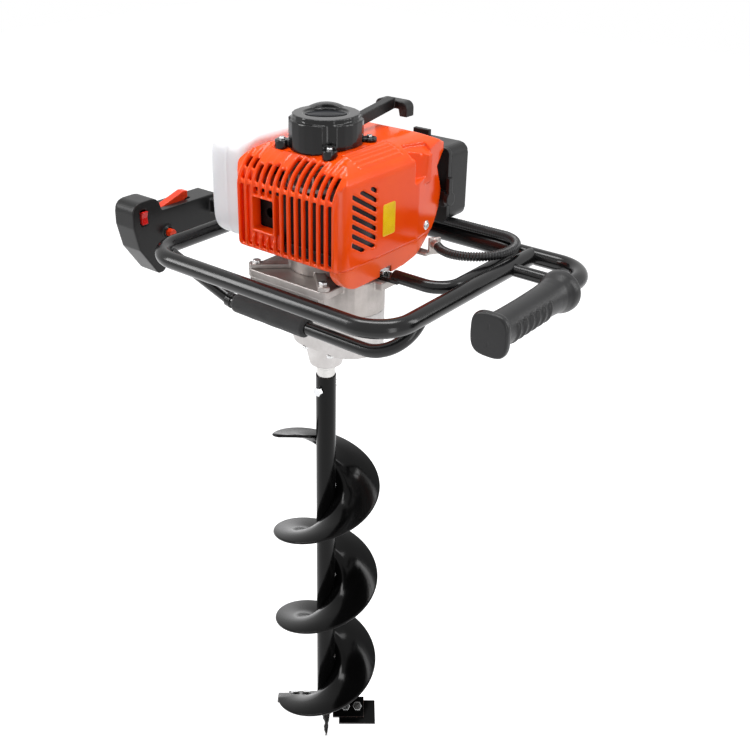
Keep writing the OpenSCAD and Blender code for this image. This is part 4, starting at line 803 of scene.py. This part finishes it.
def label_material(name, light, dark, spec):
    t = Tree(name)
    t.set(Specular_IOR_Level=spec)
    drift = t.noise(60.0, 4.0)
    fine = t.noise(1500.0, 3.0)
    t.set(Base_Color=t.mix(t.fit(drift, 0.3, 0.7, 0.0, 1.0), light, dark),
          Roughness=t.fit(fine, 0.3, 0.7, 0.22, 0.36), Normal=t.bump(fine, 0.1, 0.00004))
    return t.mat


yellow = label_material("label_yellow", srgb(252, 208, 18), srgb(240, 190, 10), 0.3)
plate("bare_label", Vector((85.8, 2.5, 855.5)), ALONG, UP, 24.0, 40.0, 0.6, "control_orange", yellow)
# Dark sheets behind the louvres and the guard's slots, as painted shade in the hollows behind them
plate("louvre_painted_shade", Vector((82.2, -57, 846)), ALONG, UP, 50.0, 78.0, 0.5, "black_plastic")
plate("guard_painted_shade", Vector((-50, -66, 828)), SIDE, UP, 114.0, 18.0, 1.0, "black_plastic")

# Bare oval in the starter's dial, with a raised edge
DIAL_DROP = 6                                       # from the housing's highest point to the dial's floor
OVAL = ((25, 14, -0.6), (25, 14, 0.4), (24.4, 13.4, 0.7), (23.4, 12.4, 0.7), (23, 12, 0.4), (12, 6, 0.4))
dial = UP * (box_mm("starter_housing")[1].z - DIAL_DROP)
long_axis = RIGHT.normalized()
bm = bmesh.new()
rings(bm, [[(dial + long_axis * a * c + UP.cross(long_axis) * b * s + UP * h) / 1000 for c, s in circle(72)]
           for a, b, h in OVAL])
dark = label_material("label_dark", (0.004, 0.005, 0.008), (0.002, 0.003, 0.004), 0.08)
piece("bare_oval", bm, "gloss_black", material=dark)

# Screw with a washer and a hexagon socket, low on the shroud's chamfer
SCREW_AT, SCREW_OUT = Vector((81.7, 98.6, 843.5)), Vector((0.983, 0.182, 0)).normalized()
HEAD = ((6.2, -1.0), (6.2, 0.5), (5.6, 0.8), (4.2, 0.8), (4.2, 1.8), (3.4, 2.5))
SOCKET = ((2.2, 2.7), (2.1, 1.3), (0.5, 1.2))


def screw_ring(r, h, hexagon):
    ring = []
    for j, (c, s) in enumerate(circle(48)):
        a = 2 * math.pi * j / 48 % (math.pi / 3) - math.pi / 6
        rr = r * math.cos(math.pi / 6) / math.cos(a) if hexagon else r
        ring.append((SCREW_AT + UP.cross(SCREW_OUT) * rr * c + UP * rr * s + SCREW_OUT * h) / 1000)
    return ring


bm = bmesh.new()
rings(bm, [screw_ring(r, h, False) for r, h in HEAD] + [screw_ring(r, h, True) for r, h in SOCKET])
piece("chamfer_screw", bm, "zinc")


# Stage: pale floor, white surround, soft lamps
FLOOR_GREY, FLOOR_LIFT, FLOOR_HALF, FLOOR_DROP = 0.8, 0.7, 6.0, 0.0005
SURROUND = (0.36, 0.36, 0.37, 1)                    # what lights the object from all round


def seen_rays(nt):
    """1 for rays that show the background: from the camera, in reflections and through clear parts"""
    path = nt.nodes.new("ShaderNodeLightPath")
    total = path.outputs["Is Camera Ray"]
    for kind in ("Is Glossy Ray", "Is Transmission Ray"):
        pick = nt.nodes.new("ShaderNodeMath")
        pick.operation = "MAXIMUM"
        nt.links.new(total, pick.inputs[0])
        nt.links.new(path.outputs[kind], pick.inputs[1])
        total = pick.outputs[0]
    return total


def stage_material(name, grey, lift):
    """A matt floor that is lifted to white for rays that show the background, and keeps the shadow"""
    t = Tree(name)
    grain = t.fit(t.noise(30.0, 3.0), 0.3, 0.7, 0.0, 1.0)
    t.set(Base_Color=t.mix(grain, (grey,) * 3, (grey * 0.99,) * 3), Roughness=0.9, Specular_IOR_Level=0.1)
    glow = t.node("ShaderNodeEmission", Color=(1, 1, 1, 1))
    t.link(t.math("MULTIPLY", seen_rays(t.nt), lift), glow.inputs["Strength"])
    add = t.nt.nodes.new("ShaderNodeAddShader")
    t.link(t.bsdf.outputs[0], add.inputs[0])
    t.link(glow.outputs[0], add.inputs[1])
    t.link(add.outputs[0], t.out.inputs[0])
    return t.mat


bm = bmesh.new()
bmesh.ops.create_grid(bm, x_segments=8, y_segments=8, size=FLOOR_HALF)
mesh = bpy.data.meshes.new("floor")
bm.to_mesh(mesh)
bm.free()
floor = bpy.data.objects.new("floor", mesh)
floor.location.z = -FLOOR_DROP
scene.collection.objects.link(floor)
mesh.materials.append(stage_material("floor_pale", FLOOR_GREY, FLOOR_LIFT))

world = bpy.data.worlds.new("studio")
scene.world = world
world.use_nodes = True
nt = world.node_tree
nt.nodes.clear()
w_out = nt.nodes.new("ShaderNodeOutputWorld")
seen = nt.nodes.new("ShaderNodeBackground")
seen.inputs[0].default_value = (1, 1, 1, 1)
lit = nt.nodes.new("ShaderNodeBackground")
lit.inputs[0].default_value = SURROUND
pick = nt.nodes.new("ShaderNodeMixShader")
nt.links.new(seen_rays(nt), pick.inputs[0])
nt.links.new(lit.outputs[0], pick.inputs[1])
nt.links.new(seen.outputs[0], pick.inputs[2])
nt.links.new(pick.outputs[0], w_out.inputs[0])

LAMP_AIM = Vector((0.0, 0.0, 0.8))
LAMPS = {       # place, size in metres, watts
    "top_box": ((-0.1, 0.2, 2.6), (1.5, 0.6), 30.0),
    "key_box": ((-1.6, -1.6, 1.9), (0.6, 1.6), 34.0),
    "rim_box": ((1.7, 1.3, 1.7), (0.5, 1.4), 14.0),
    "fill_box": ((1.9, -0.7, 0.9), (0.5, 1.4), 8.0),
}
for name, (place, size, watts) in LAMPS.items():
    data = bpy.data.lights.new(name, "AREA")
    data.shape = "RECTANGLE"
    data.size, data.size_y = size
    data.energy = watts
    lamp = bpy.data.objects.new(name, data)
    scene.collection.objects.link(lamp)
    lamp.location = place
    lamp.rotation_mode = "QUATERNION"
    lamp.rotation_quaternion = (Vector(place) - LAMP_AIM).to_track_quat("Z", "Y")
